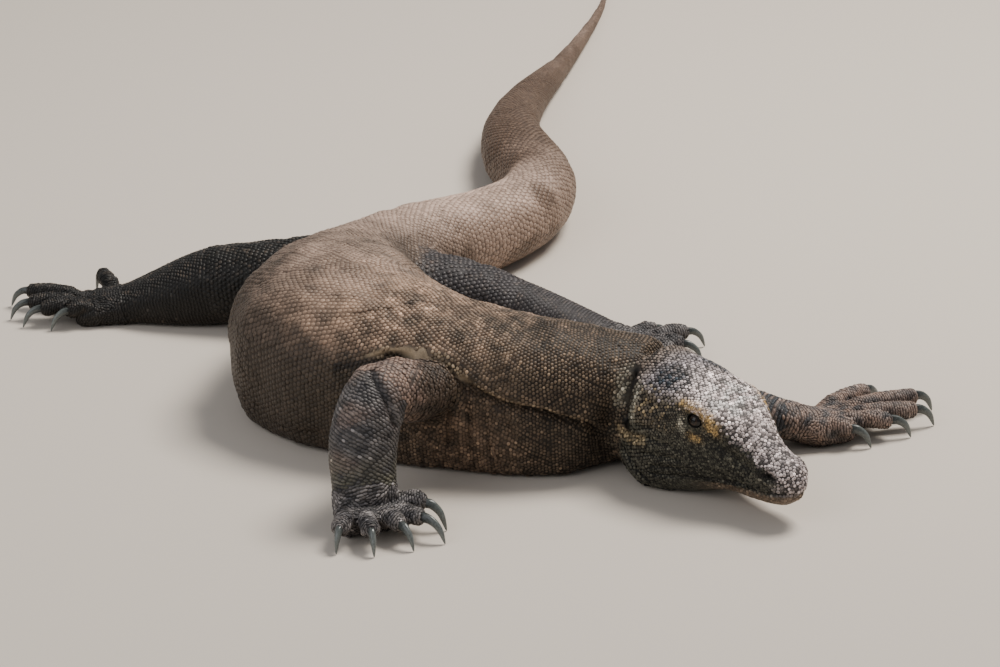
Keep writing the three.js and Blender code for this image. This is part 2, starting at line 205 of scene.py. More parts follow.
# Which lines each solid of flesh can belong to: its own and those of its digits, or a longer one.
OWNERS = {name: [line for line in LINE_NAMES if line.startswith(name)] for name in LINE_NAMES}
OWNERS.update({name: ["trunk"] for name in ("neck", "shoulders", "belly", "hips")})
OWNERS.update({f"tail_{number}": ["tail"] for number in range(1, 5)})
OWNERS["lower_jaw"] = ["head"]
print("middle lines:", len(LINES))

# %% [markdown]
# ## One skin over all the flesh
# Copies of the flesh solids are swollen by a hair's breadth, so that the thin partings between them
# close, and joined in one mesh. A voxel remesh melts them into a single surface of small squares,
# and smoothing takes the flat faces out. Smoothing shrinks a shape, so afterwards the skin is moved
# back out to the solids, less the depth of the scales. The head and the feet are then divided again,
# because their folds are finer.

# %% Mesh helpers
def rows_of(items, field, width, kind=np.float32):
    """One field of all vertices or edges, a row for each."""
    flat = np.empty(len(items) * width, kind)
    items.foreach_get(field, flat)
    return flat.reshape(-1, width)


def points_of(mesh):
    """The vertices of a mesh, in millimetres."""
    return rows_of(mesh.vertices, "co", 3).astype(float) / MM


def put_points(mesh, points):
    """Moves the vertices of a mesh to points in millimetres."""
    mesh.vertices.foreach_set("co", (points * MM).astype(np.float32).ravel())
    mesh.update()


def normals_of(mesh):
    """The directions in which the surface faces at its vertices."""
    return rows_of(mesh.vertex_normals, "vector", 3).astype(float)


def edges_of(mesh):
    """The pairs of vertices that the edges join."""
    return rows_of(mesh.edges, "vertices", 2, np.int32)


def averaged(values, edges, share, rounds):
    """Values blended with their neighbours' along the edges, by each point's own share."""
    ends = np.concatenate([edges, edges[:, ::-1]])
    near = np.maximum(np.bincount(ends[:, 0], minlength=len(values)), 1)
    columns = np.atleast_2d(values.T).astype(float)
    for _ in range(rounds):
        means = [np.bincount(ends[:, 0], column[ends[:, 1]], len(values)) / near for column in columns]
        columns = columns + (np.array(means) - columns) * share
    return columns.T.reshape(values.shape)


def normed(vectors):
    """Vectors with a length of one."""
    return vectors / np.maximum(np.linalg.norm(vectors, axis=-1, keepdims=True), 1e-9)


def faces_of(mesh):
    """The faces of a mesh as tuples of vertex numbers."""
    return [tuple(face.vertices) for face in mesh.polygons]


# %% Join and melt the flesh
WELD = 0.02 * MM
VOXEL = 5.0 * MM
FLESH_SWELL, CLAW_SWELL = 0.4, 0.25  # millimetres


def swollen(names, by):
    """Copies of some solids in one bmesh, welded and swollen by a distance in millimetres."""
    bm = bmesh.new()
    for name in names:
        bm.from_mesh(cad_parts[name].data)
    bmesh.ops.remove_doubles(bm, verts=bm.verts, dist=WELD)
    bm.normal_update()
    for vert in bm.verts:
        vert.co += vert.normal * by * MM
    return bm


def modified(mesh, kind, **settings):
    """The mesh that one modifier makes of another, which is thrown away."""
    holder = placed("holder", mesh)
    modifier = holder.modifiers.new("change", kind)
    for key, value in settings.items():
        setattr(modifier, key, value)
    result = bpy.data.meshes.new_from_object(holder.evaluated_get(bpy.context.evaluated_depsgraph_get()))
    bpy.data.objects.remove(holder)
    bpy.data.meshes.remove(mesh)
    return result


flesh = [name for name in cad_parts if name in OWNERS]
melted = mesh_from(swollen(flesh, FLESH_SWELL), "melted")
skin_mesh = modified(melted, "REMESH", mode="VOXEL", voxel_size=VOXEL)
skin_mesh.name = "skin"
print("melted skin:", len(skin_mesh.vertices), "points")


# %% Keep the outer shell only
bm = bmesh.new()
bm.from_mesh(skin_mesh)
seen, shells = set(), []
for start in bm.verts:
    if start in seen:
        continue
    seen.add(start)
    shell = [start]
    for reached in shell:
        for edge in reached.link_edges:
            vert = edge.other_vert(reached)
            if vert not in seen:
                seen.add(vert)
                shell.append(vert)
    shells.append(shell)
shells.sort(key=len, reverse=True)
bmesh.ops.delete(bm, geom=[vert for shell in shells[1:] for vert in shell], context="VERTS")
bm.to_mesh(skin_mesh)
bm.free()
print("shells found:", len(shells), "kept:", len(skin_mesh.vertices), "points")

# %% Which solid each point belongs to
solid_points, solid_faces, solid_owner = [], [], []
for number, name in enumerate(flesh):
    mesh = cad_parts[name].data
    first = len(solid_points)
    solid_points.extend(points_of(mesh).tolist())
    solid_faces.extend(tuple(v + first for v in face) for face in faces_of(mesh))
    solid_owner.extend([number] * len(mesh.polygons))
solid_tree = BVHTree.FromPolygons(solid_points, solid_faces)


def owners_of(points):
    """The number of the solid next to each point, and how far inside it the point lies."""
    owner, depth = [], []
    for point in points:
        place, normal, face, _ = solid_tree.find_nearest(Vector(point))
        owner.append(solid_owner[face])
        depth.append((place - Vector(point)).dot(normal))
    return np.array(owner), np.array(depth)


def is_owned(owner, *words):
    """Whether the owning solid's name holds one of the words."""
    return np.array([any(word in name for word in words) for name in flesh])[owner]


# %% Smooth the body more than the head, and the feet least
def laid_inside(mesh, deepest, rounds, gap, where=1.0):
    """Moves a skin along its normals until it lies a small gap inside the solids."""
    _, depth = owners_of(points_of(mesh))
    depth = averaged(np.clip(depth, -3, deepest), edges_of(mesh), 0.5, rounds)
    put_points(mesh, points_of(mesh) + normals_of(mesh) * ((depth - gap) * where)[:, None])


SOFTNESS = {"hand": 0.05, "foot": 0.05, "head": 0.25, "jaw": 0.25, "forearm": 0.35, "shank": 0.35}
points, edges = points_of(skin_mesh), edges_of(skin_mesh)
owner, _ = owners_of(points)
softness = np.full(len(points), 0.5)
for word, share in SOFTNESS.items():
    softness[is_owned(owner, word)] = share
softness = averaged(softness, edges, 0.5, 6)
put_points(skin_mesh, averaged(points, edges, softness, rounds=45))
laid_inside(skin_mesh, deepest=12, rounds=12, gap=1.5)
print("skin smoothed and laid inside the solids")

# %% Divide the head and the feet once more
def divided(mesh, chosen):
    """Divides the edges of a mesh that have both ends chosen."""
    bm = bmesh.new()
    bm.from_mesh(mesh)
    chosen_edges = [edge for edge in bm.edges if all(chosen[vert.index] for vert in edge.verts)]
    bmesh.ops.subdivide_edges(bm, edges=chosen_edges, cuts=1, use_grid_fill=True)
    bm.to_mesh(mesh)
    bm.free()


FINE = ("head", "jaw", "hand", "foot")
divided(skin_mesh, is_owned(owner, *FINE))
owner, _ = owners_of(points_of(skin_mesh))
fine = is_owned(owner, *FINE)
for _ in range(2):
    put_points(skin_mesh, averaged(points_of(skin_mesh), edges_of(skin_mesh), 0.4 * fine, 3))
    laid_inside(skin_mesh, deepest=6, rounds=2, gap=1.2, where=fine)
print("skin:", len(skin_mesh.vertices), "points")

# %% [markdown]
# ## Folds, wrinkles and the form of the head
# A fold is drawn as a line of a few points near the skin. Along it the skin sinks in a narrow groove,
# and beside the groove it swells in a lip, as loose skin does where it overlaps. The mouth, the
# canthus over the eye, the nostril and the slit behind the jaw are made the same way, on both sides
# of the head, after the skin there has been divided once more.

# %% Distances along a line
def along(points, line):
    """For each point: its distance from a line of points, how far along its nearest place is, that
    place, the line's heading there, and the whole line's length."""
    line = np.asarray(line, float)
    best = np.full(len(points), FAR)
    arc, foot, heading = np.zeros(len(points)), np.zeros((len(points), 3)), np.zeros((len(points), 3))
    start = 0.0
    for a, b in zip(line[:-1], line[1:]):
        step = b - a
        length = np.linalg.norm(step)
        share = np.clip((points - a) @ step / length**2, 0, 1)
        place = a + share[:, None] * step
        dist = np.linalg.norm(points - place, axis=1)
        near = dist < best
        best[near], arc[near], foot[near] = dist[near], start + share[near] * length, place[near]
        heading[near] = step / length
        start += length
    return best, arc, foot, heading, start


def beside(points, normals, line):
    """For each point: its distance from a line on the skin, how far along it lies, how far to the
    left of it, and the whole line's length."""
    dist, arc, foot, heading, length = along(points, line)
    return dist, arc, ((points - foot) * normed(np.cross(normals, heading))).sum(1), length


def settled(line, step=4.0):
    """A line cut in short steps and laid on the surface of the solids."""
    line = np.asarray(line, float)
    spots = [line[:1]]
    for a, b in zip(line[:-1], line[1:]):
        count = max(1, int(np.linalg.norm(b - a) / step))
        spots.append(a + (b - a) * np.linspace(1 / count, 1, count)[:, None])
    return np.array([solid_tree.find_nearest(Vector(spot))[0] for spot in np.concatenate(spots)])


def ramp(values, low, high):
    """A smooth rise from 0 at low to 1 at high."""
    t = np.clip((values - low) / (high - low), 0, 1)
    return t * t * (3 - 2 * t)


def hill(values, width):
    """A smooth bump of height 1 at zero."""
    return np.exp(-((values / width) ** 2))


def patchy(points, size, seed=0):
    """Soft random patches about size millimetres across, from about -1 to 1."""
    rng = np.random.default_rng(seed + 11)
    waves = normed(rng.normal(size=(16, 3))) * (math.tau / size) * rng.uniform(0.6, 1.4, (16, 1))
    return np.sin(points @ waves.T + rng.uniform(0, 6.3, 16)).sum(1) / 4


def ripples(places, step, bends):
    """Waves with one step from crest to crest, bent by some patches."""
    return np.sin(math.tau * places / step + bends)


# %% Lines of the folds
# name: points in mm, depth of the groove, its width, height of the lip, side of the lip (1 is left
# of the line as it runs, seen from outside).
BODY_FOLDS = {
    "over the shoulder": (
        [(-98, -766, 112), (-65, -786, 130), (-38, -792, 136), (-8, -802, 128), (18, -815, 106),
         (49, -826, 90), (90, -831, 83), (142, -824, 64), (163, -815, 47)], 9.0, 4.4, 5.6, 1),
    "across the back": (
        [(-129, -732, 147), (-98, -733, 154), (-71, -731, 158), (-45, -720, 160), (-14, -714, 161)],
        1.0, 3, 1.6, 1),
    "inside the elbow": (
        [(-84, -890, 154), (-68, -915, 137), (-59, -921, 120), (-54, -920, 96)], 5, 4, 2.5, 1),
    "armpit 1": ([(-2, -822, 104), (-4, -815, 62), (-2, -800, 30)], 4.5, 3.5, 2.5, 1),
    "armpit 2": ([(18, -821, 92), (18, -821, 57), (20, -806, 28)], 3.5, 3, 2.2, 1),
    "armpit 3": ([(34, -825, 78), (38, -823, 45), (44, -810, 22)], 3.0, 3, 2, 1),
    "armpit 4": ([(58, -828, 70), (66, -826, 42), (74, -812, 20)], 2.2, 3, 1.6, 1),
    "flank": ([(-228, -600, 60), (-205, -660, 40), (-165, -725, 32), (-120, -775, 30)], 2.0, 5, 1.8, 1),
    "groin": ([(-190, -400, 60), (-160, -395, 96), (-130, -385, 112)], 3, 5, 2, 1),
    "left shoulder": ([(100, -725, 100), (90, -690, 96), (60, -668, 92), (30, -650, 84)], 3.5, 4, 2.5, 1),
}
MOUTH = [(205, 0, -4), (200, 12, -5.5), (186, 22, -10.5), (166, 26, -17.5), (140, 30, -26),
         (112, 36, -35.5), (90, 43, -43), (68, 52, -51), (50, 59, -55), (38, 62, -55)]
HEAD_FOLDS = {
    "canthus": (
        [(60, 44, 36), (90, 39, 36), (112, 34, 32), (128, 30, 23), (150, 26, 17), (172, 23, 14)],
        0, 2.6, 2.0, 1),
    "under the canthus": ([(100, 44, 14), (122, 38, 5), (146, 31, 1), (164, 28, 2)], 3.6, 8, 0, 1),
    "mouth": (MOUTH, 3.2, 1.5, 1.6, -1),
    "slit": ([(-16, 40, 30), (-8, 50, 14), (-2, 56, -4), (2, 60, -22)], 7.0, 4.6, 2.6, -1),
    "behind the slit": ([(-26, 46, 26), (-21, 54, 10), (-17, 58, -6)], 0, 3.5, 2.8, 1),
    "jaw angle": ([(-6, 58, -34), (14, 62, -30), (40, 62, -20)], 3.6, 3, 3.6, 1),
    "jaw muscle": ([(44, 56, 14), (26, 60, 16), (8, 58, 12)], 2.6, 5, 1.6, -1),
    "cheek 1": ([(60, 54, -2), (34, 60, -4), (14, 61, -12)], 2.0, 2, 1.5, 1),
    "cheek 2": ([(72, 53, -12), (46, 60, -14), (20, 62, -20)], 2.2, 2, 1.6, 1),
    "cheek 3": ([(84, 50, -22), (58, 58, -28), (30, 63, -36)], 2.6, 2, 1.8, 1),
    "cheek 4": ([(96, 44, -30), (70, 54, -37), (44, 61, -46)], 2.6, 2, 1.8, 1),
    "throat 1": ([(0, 56, -48), (24, 61, -58), (50, 56, -66)], 4.0, 3, 3.0, 1),
    "throat 2": ([(-6, 50, -66), (20, 52, -78), (48, 46, -76)], 3.6, 3, 2.6, 1),
}
BODY_LINES = [(settled(line), *shape) for line, *shape in BODY_FOLDS.values()]
HEAD_LINES = [
    (name, settled(from_head(np.array(line, float) * (1, side, 1))), *shape, lip_side * side)
    for name, (line, *shape, lip_side) in HEAD_FOLDS.items() for side in SIDES
]
SHOULDER_LINE = BODY_LINES[0][0]
NOSTRIL = to_head(settled(from_head([(178, 25, 9)])))[0]
EYE = np.array((80.0, 37.0, 23.0))


def eye_frame(side):
    """The middle of one eye and its three directions: where it looks, towards the nose, and up."""
    gaze = normed(np.array((0.2, 0.93 * side, 0.26)))
    ahead = np.array((1, 0, -0.08))
    ahead = normed(ahead - gaze * (ahead @ gaze))
    above = side * np.cross(ahead, gaze)
    return from_head(EYE * (1, side, 1)), gaze @ HEAD_TURN.T, ahead @ HEAD_TURN.T, above @ HEAD_TURN.T


def round_eye(points, side):
    """Where points lie as the eye sees them: distance from its axis, angle round it from the nose
    upwards, and height along it."""
    centre, gaze, ahead, above = eye_frame(side)
    gap = points - centre
    return np.hypot(gap @ ahead, gap @ above), np.arctan2(gap @ above, gap @ ahead), gap @ gaze


def on_left(points):
    """Points in the head frame, with those on its right side turned over to its left."""
    head = to_head(points)
    head[:, 1] = np.abs(head[:, 1])
    return head


# %% Let the head flow into the neck
points, edges = points_of(skin_mesh), edges_of(skin_mesh)
x, _, z = to_head(points).T
nape = is_owned(owners_of(points)[0], "head", "jaw", "neck") * hill(x + 2, 22)
nape = nape * (0.25 + 0.75 * ramp(10 - z, 0, 20))
put_points(skin_mesh, averaged(points, edges, 0.5 * nape, 70))
print("nape smoothed:", int((nape > 0.1).sum()), "points")

# %% Divide the finest places again
# How far from their lines the finest folds reach, in millimetres.
SHARP = {"mouth": 0.5, "slit": 2.5, "canthus": 0.5, "behind the slit": 0.5, "jaw angle": 0.5}
points = points_of(skin_mesh)
reach = [along(points, line)[0] - SHARP[name] for name, line, *_ in HEAD_LINES if name in SHARP]
reach += [along(points, line)[0] - 3 for line, *_ in BODY_LINES]
for side in SIDES:
    reach.append(np.linalg.norm(points - from_head(NOSTRIL * (1, side, 1)), axis=1) - 5)
    rho, _, rise = round_eye(points, side)
    reach.append(np.where(rise > -8, rho - 14, FAR))
near = np.min(reach, 0) < 4
divided(skin_mesh, near)
near = np.concatenate([near, np.ones(len(skin_mesh.vertices) - len(near), bool)])
put_points(skin_mesh, averaged(points_of(skin_mesh), edges_of(skin_mesh), 0.4 * near, 2))
print("skin:", len(skin_mesh.vertices), "points after the finest division")


# %% Press the folds in
def press(points, normals, line, depth, width, lip, side):
    """How far each point moves along its normal for one fold: a groove with a steep lip over it."""
    dist, arc, across, length = beside(points, normals, line)
    across = across * side
    ends = ramp(arc, 0, 0.15 * length) * ramp(length - arc, 0, 0.15 * length)
    swell = lip * ramp(across, -0.3 * width, 1.1 * width) * np.exp(-np.maximum(across, 0) / (3.5 * width))
    groove = depth * hill(across + 0.4 * width, width)
    return (swell - groove) * ends * (dist < 16 * width) * ramp(12 * width - dist, 0, 6 * width)


points, normals, edges = points_of(skin_mesh), normals_of(skin_mesh), edges_of(skin_mesh)
normals = normed(averaged(normals, edges, 0.5, 4))
owner, _ = owners_of(points)
in_head = is_owned(owner, "head", "jaw")
in_face = in_head | is_owned(owner, "neck")
at_shoulder = is_owned(owner, "neck", "shoulders", "right_upper_arm")
move = np.zeros(len(points))
for line, *shape in BODY_LINES:
    move += press(points, normals, line, *shape)
for _, line, *shape in HEAD_LINES:
    move += press(points, normals, line, *shape) * in_face
# The shoulder fold swells where it lies over the arm, whose root is laid deeper.
FOLD_SWELL, ARM_SINKS = 1.8, 6.0
dist, arc, across, _ = beside(points, normals, SHOULDER_LINE)
move += FOLD_SWELL * at_shoulder * (dist < 20) * hill(across - 3, 4) * hill(arc - 85, 40)
arm_root = is_owned(owner, "right_upper_arm") * ramp(points[:, 0], -75, -50) * ramp(points[:, 1], -872, -838)
move -= ARM_SINKS * averaged(arm_root, edges, 0.5, 30)
trunk = is_owned(owner, "neck", "shoulders", "belly", "hips", "upper_arm", "thigh")
move += trunk * (0.9 * patchy(points, 45) + 0.4 * patchy(points, 16, 3))
# Loose skin ripples round the upper arm and the armpit, and in rings round wrists and ankles.
arc = along(points, LINES["right_upper_arm"])[1]
wave = ripples(arc, 11, 2 * patchy(points, 40, 13))
move += 0.9 * wave * is_owned(owner, "upper_arm") * ramp(arc, 10, 40)
armpit = is_owned(owner, "shoulders", "neck") * hill(points[:, 0] - 20, 70)
armpit = armpit * ramp(105 - points[:, 2], 0, 30) * (points[:, 1] < -780)
move += 1.1 * ripples(points[:, 0], 13, 2.2 * patchy(points, 50, 17)) * armpit
for foot, wrist in WRISTS.items():
    line = [*LINES[foot.replace("hand", "forearm").replace("foot", "shank")][-2:], wrist[1]]
    dist, arc, _, _, length = along(points, line)
    ring = ripples(arc, 7, 1.2 * patchy(points, 30, 19))
    move += 0.6 * ring * ramp(arc, 0.3 * length, 0.6 * length) * (dist < 55) * (arc < length - 1)
    for number in range(1, 6):
        dist, arc, _, _, length = along(points, LINES[f"{foot}_{number}"][1:])
        swell = 1.7 + 2.0 * ramp(arc, 0.5 * length, 0.95 * length) - 0.25 * np.cos(math.tau * arc / 7)
        move += (dist < 15) * is_owned(owner, foot) * swell
for side in SIDES:
    gap = (points - from_head(NOSTRIL * (1, side, 1))) @ HEAD_TURN
    oval = np.linalg.norm(gap * (0.7, 1, 1), axis=1)
    move += in_head * (1.8 * hill(oval - 7.4, 2.0) - 7.5 * hill(oval, 4.8))
unfolded = points
points = points + normals * move[:, None]
# The socket of the eye: the skin sinks behind the lids, under a strong brow. Each swelling has a
# height, an angle round the eye, a distance from its axis and a width.
SWELLINGS = ((3.6, 1.45, 13.5, 4.5), (1.4, 3.1, 15, 5), (2.2, 0.1, 15, 5), (1.6, -1.6, 13, 3))
for side in SIDES:
    rho, angle, rise = round_eye(points, side)
    near = in_head & (rho < 34) & (rise > -14)
    raised = rise
    for tall, turn, away, wide in SWELLINGS:
        raised = raised + tall * np.maximum(np.cos(angle - turn), 0) * hill(rho - away, wide)
    sunk = 1.5 + (raised - 1.5) * ramp(rho, 8.0, 12.0)
    points = points + eye_frame(side)[1] * ((sunk - rise) * near)[:, None]
points[:, 2] = np.maximum(points[:, 2], SKIN_LOW)
put_points(skin_mesh, points)
print("folds pressed, deepest", round(float(move.min()), 2), "mm")

# %% [markdown]
# ## The markings
# The colour of the hide is worked out from where a point lies, by one function for each part of the
# animal and one that joins them: dusty tan beads over dark brown on the neck, grey brown on the
# trunk, slate on the legs, and a pale speckled crown over dark cheeks, with gold round the eyes.
# Light and shade are painted in as well: paler tops and a sunlit patch on the shoulders, shade low
# on the flanks, on the far tail and in the hollows of the face, a shadow that makes the right hind
# leg nearly black and lies under the shoulder fold, and highlights on the fold's crest and round
# the wrist. Skin and scales both ask the joining function, so they match.

# %% Paints and marks
PAINT = {
    "neck tan": (106, 90, 73), "neck dark": (66, 55, 44), "shoulder": (184, 152, 128),
    "trunk": (78, 67, 58), "trunk pink": (170, 145, 129), "trunk low": (54, 47, 38),
    "crown": (254, 237, 233), "crown grey": (160, 150, 151), "blue dark": (46, 54, 62),
    "cheek": (76, 74, 64), "cheek tan": (196, 172, 132), "gold": (196, 162, 106),
    "jaw brown": (116, 100, 84), "nostril": (26, 20, 17), "slit pale": (206, 200, 180),
    "slate": (72, 70, 72), "slate pale": (146, 140, 138), "arm pink": (158, 131, 116),
    "olive": (90, 88, 70), "leg dark": (23, 22, 20), "leg blue": (64, 60, 62),
    "tail": (146, 124, 110), "tail pale": (200, 173, 157), "tail dark": (84, 66, 53),
    "tan edge": (202, 180, 150),
}
PAINT = {name: np.array(linear(*colour)) for name, colour in PAINT.items()}


def layered(colour, *coats):
    """Coats of paint laid one over the other on a colour or a paint: the paint's name and its share."""
    colour = PAINT[colour] if isinstance(colour, str) else colour
    for name, share in coats:
        colour = colour + (PAINT[name] - colour) * np.clip(share, 0, 1)[:, None]
    return colour


# Narrow marks on the face: paint, line in the head frame, width, strength. The darkest paint is painted
# shade in the slits, the nostrils and the mouth line.
FACE_MARKS = [
    (name, to_head(settled(from_head(line), 2.0)), width, share) for name, line, width, share in (
        ("gold", [(60, 44, 35), (76, 43, 38), (90, 40, 36), (104, 37, 31)], 5.4, 0.97),
        ("gold", [(99, 42, 28), (108, 39, 26)], 6.2, 0.95),
        ("gold", [(83, 47, 7), (93, 45, 9)], 4.2, 0.95),
        ("slit pale", [(67, 46, 19), (70, 47, 10)], 3.6, 0.95),
        ("cheek tan", [(-8, 57, -34), (14, 61, -31), (32, 62, -24)], 4.5, 0.8),
        ("slit pale", [(1, 47, 22), (8, 56, 8), (10, 60, -8)], 4.0, 0.95),
        ("slit pale", [(-24, 42, 27), (-20, 51, 13), (-14, 58, -4)], 6.5, 0.55),
        ("nostril", [(-16, 40, 30), (-8, 50, 14), (-2, 56, -4), (2, 60, -24)], 7.4, 1.0),
        ("slit pale", [(166, 28, 1), (176, 26, 2), (186, 23, 4)], 1.8, 0.8),
        ("nostril", [(171, 26.5, 7), (184, 23.5, 9.5)], 5.2, 1.0),
        ("nostril", MOUTH[:8], 1.6, 0.95),
    )
]


def place_of(points, normals, owner):
    """What the paints need to know of each point: where it is on the animal and in the head frame, how
    far it faces up, which solids it is on, and the random patches there."""
    left = on_left(points)
    return SimpleNamespace(
        points=points, side=points[:, 0], back=points[:, 1], high=points[:, 2], up=normals[:, 2],
        left=left, x=left[:, 0], y=left[:, 1], z=left[:, 2],
        blotch=patchy(points, 60, 5), fleck=patchy(points, 14, 9), mottle=patchy(points, 26, 15),
        on=lambda *words: is_owned(owner, *words),
    )


print("paints:", len(PAINT), "marks on the face:", len(FACE_MARKS))


# %% Colours of the trunk, the tail and the legs
def trunk_colour(at):
    """A speckled neck, painted sunlit shoulders, a grey back whose paler top is part dust and part painted
    light, and painted shade below.
    """
    forward = ramp(at.x, -330, -120)
    # Patches of the back's paler top: part dust, part painted light where the back faces up.
    pale_share = 0.55 + 0.25 * at.blotch + 0.12 * at.mottle
    brown = 0.34 + 0.34 * ramp(at.up, 0.7, 1.0) - 0.16 * at.mottle - 0.15 * at.fleck
    return layered(
        "trunk",
        ("trunk pink", ramp(at.up, 0.64, 1.04) * pale_share * (1 - forward)),
        ("neck tan", forward * (0.8 + 0.2 * at.fleck)),
        # Painted light: a sunlit patch on the tops of the shoulders.
        ("shoulder", hill(at.x + 230, 110) * ramp(at.up, 0.25, 0.9) * (0.6 + 0.3 * at.mottle)),
        ("neck dark", forward * brown),
        # Painted shade low on the flanks, where the body faces down.
        ("trunk low", ramp(-at.up, -0.6, 0.15) * (0.9 - 0.4 * forward - 0.15 * at.fleck)),
        # Painted shade on the far outer flank.
        ("trunk", ramp(-at.side, 130, 200) * 0.4),
    )


def tail_colour(at):
    """A pale root with dark patches, a top paler with painted light, and an end darkened by painted shade.
    """
    return layered(
        "tail",
        # Painted light: the tail is paler where it faces up.
        ("tail pale", ramp(at.up, 0.3, 0.95) * (0.62 + 0.3 * at.blotch)),
        # Dark patches that gather on the sides of the tail as painted shade.
        ("tail dark", ramp(patchy(at.points, 90, 21) - at.up * 0.5, 0.1, 0.9) * 0.7),
        # Painted light on the top of the hips.
        ("tail pale", hill(at.back + 340, 90) * ramp(at.up, 0.5, 1.0) * 0.6),
        # Painted shade over the far part of the tail, easing towards the tip.
        ("tail dark", ramp(at.back, -190, 120) * (0.95 - 0.3 * ramp(at.back, 400, 700))),
    )


def leg_colour(at):
    """Slate, pinker on the arms and made nearly black on the right hind leg by painted shadow, with painted
    rings of light and shade on the forearm.
    """
    forearm = at.on("right_forearm")
    colour = layered(
        "slate",
        ("slate pale", 0.25 + 0.2 * at.fleck + 0.15 * at.mottle),
        # The right hind leg and foot: dark slate, made nearly black by a painted shadow.
        ("leg dark", at.on("right_thigh", "right_shank") * 0.97),
        ("leg dark", at.on("right_foot") * 0.9),
        ("leg blue", at.on("left_thigh", "left_shank") * (0.75 + 0.2 * at.fleck)),
        ("arm pink", at.on("upper_arm") * (0.7 + 0.25 * at.mottle)),
        ("arm pink", at.on("left_hand", "left_forearm") * (0.42 + 0.3 * at.fleck)),
        ("slate pale", at.on("right_hand") * (0.16 + 0.3 * at.fleck)),
        ("leg dark", forearm * ramp(at.mottle, -0.4, 0.8) * 0.4),
        ("arm pink", forearm * ramp(at.blotch + at.up, 0.2, 1.2) * 0.3),
        # Painted shadow of the shoulder fold on the front end of the upper arm.
        ("trunk low", at.on("right_upper_arm") * ramp(at.side + 6 * at.fleck, -46, -22) * 0.8),
        ("olive", forearm * hill(at.high - 52, 22) * (0.5 + 0.2 * at.fleck)),
        # Painted shade on the undersides of the legs.
        ("trunk low", ramp(-at.up, -0.1, 0.7) * 0.6),
    )
    # Painted highlight and shade: lighter and darker rings round the right wrist.
    rings = ripples(at.high, 4.6, 1.6 * patchy(at.points, 22, 51))
    rings *= at.on("right_hand", "right_forearm") * hill(at.high - 38, 20)
    return colour * (1 + 0.5 * rings)[:, None]


# %% Colours of the head
def face_colour(at):
    """A pale speckled crown over a dark cheek, parted by the canthus."""
    edge = np.interp(at.x, (0, 56, 106, 125, 163, 188, 200), (22, 34, 32, 23, 14, 9, -2))
    top = at.z - edge + 1.6 * patchy(at.points, 7, 41) + 3.2 * patchy(at.points, 5, 45)
    top = ramp(top, -3.5, 3.0)
    temple = hill(at.x - 26, 28) * hill(at.y - 31, 19)
    crown = layered(
        "crown grey",
        ("crown", ramp(at.x, 16, 60) * 0.95 + 0.2 * at.fleck),
        ("blue dark", temple * (0.95 + 0.35 * patchy(at.points, 8, 33))),
        ("neck tan", ramp(-at.x, -12, 14) * 0.8),
        ("crown grey", ramp(at.x, 104, 140) * (0.5 + 0.3 * at.fleck)),
    )
    spots = ramp(patchy(at.points, 9, 35), 0.35, 0.9)
    cheek = layered(
        "cheek",
        ("jaw brown", hill(at.x - 24, 26) * ramp(at.z, -16, 6) * 0.45),
        ("cheek tan", hill(at.x - 22, 30) * ramp(at.z, -10, 10) * spots * 0.75),
        ("neck tan", ramp(-at.x, -6, 10) * (0.6 + 0.3 * at.fleck)),
    )
    mouth_z = -4 - (205 - at.x) * 0.343
    return layered(
        cheek + (crown - cheek) * top[:, None],
        ("crown grey", ramp(at.x, 176, 198) * (1 - top) * 0.6),
        ("jaw brown", ramp(at.x, 80, 130) * ramp(mouth_z - at.z, 0, 2.5) * 0.9),
    )


def mark_face(colour, at):
    """Lays the narrow marks over the colours of the head and the nape."""
    near = at.on("head", "jaw") | (at.on("neck") & (at.x > -40))
    for name, line, width, share in FACE_MARKS:
        mark = share * hill(along(at.left[near], line)[0], width)
        streaks = 1 if name == "nostril" else 0.8 + 0.45 * patchy(at.left[near], 4.5, 61)
        colour[near] = layered(colour[near], (name, mark * streaks))


# %% Colours of the whole hide
def painted(points, normals, owner, leg_share):
    """The colour of the hide at each point. The share is 1 on a leg and fades out over its root."""
    at = place_of(points, normals, owner)
    colour = trunk_colour(at)
    joined = ramp(at.back, -440, -240) * at.on("tail", "hips")
    colour = colour + (tail_colour(at) - colour) * joined[:, None]
    colour = colour + (leg_colour(at) - colour) * leg_share[:, None]
    bands = np.sin(along(points, LINES["left_forearm"])[1] * 0.62 + patchy(points, 30, 3))
    colour = layered(colour, ("blue dark", at.on("left_forearm") * ramp(bands, -0.6, 0.2) * 0.9))
    colour = np.where(at.on("head", "jaw")[:, None], face_colour(at), colour)
    mark_face(colour, at)
    # The mottled armpit, painted shadow under the shoulder fold and a painted highlight on the fold's crest.
    armpit = at.on("shoulders", "neck") * hill(at.side - 15, 60) * ramp(112 - at.high, 0, 30)
    dist, arc, across, length = beside(points, normals, SHOULDER_LINE)
    below = at.on("neck", "shoulders") * (dist < 40)
    # Painted highlight along the fold's crest, strongest where it runs over the shoulder.
    pale = ramp(arc, 0, 25) * (0.3 * ramp(length - arc, 10, 90) + 0.65 * ramp(length * 0.45 - arc, 0, 30))
    crest = at.on("neck", "shoulders", "right_upper_arm") * (dist < 40) * hill(across - 1.2, 2.4)
    colour = layered(
        colour,
        ("shoulder", armpit * (at.back < -780) * (0.22 + 0.1 * at.fleck)),
        # Painted shadow under the shoulder fold.
        ("trunk low", below * ramp(-across, -1, 4) * hill(across, 30) * 0.6),
        ("nostril", below * hill(across + 5, 5) * ramp(length * 0.5 - arc, 0, 60) * 0.85),
        ("tan edge", crest * pale),
    )
    return np.clip(colour, 0.004, 0.9)


print("the hide's colours are ready")

# %% [markdown]
# ## How large the scales are, and which way they lie
# Every point of the skin gets a pitch, the distance from one scale to the next: six millimetres on
# the trunk, four on the neck, the feet and the face, and two or three round the eyes. It also gets a
# heading, from the middle line of its part, laid flat on the skin: scales on the body and legs point
# away from the head.

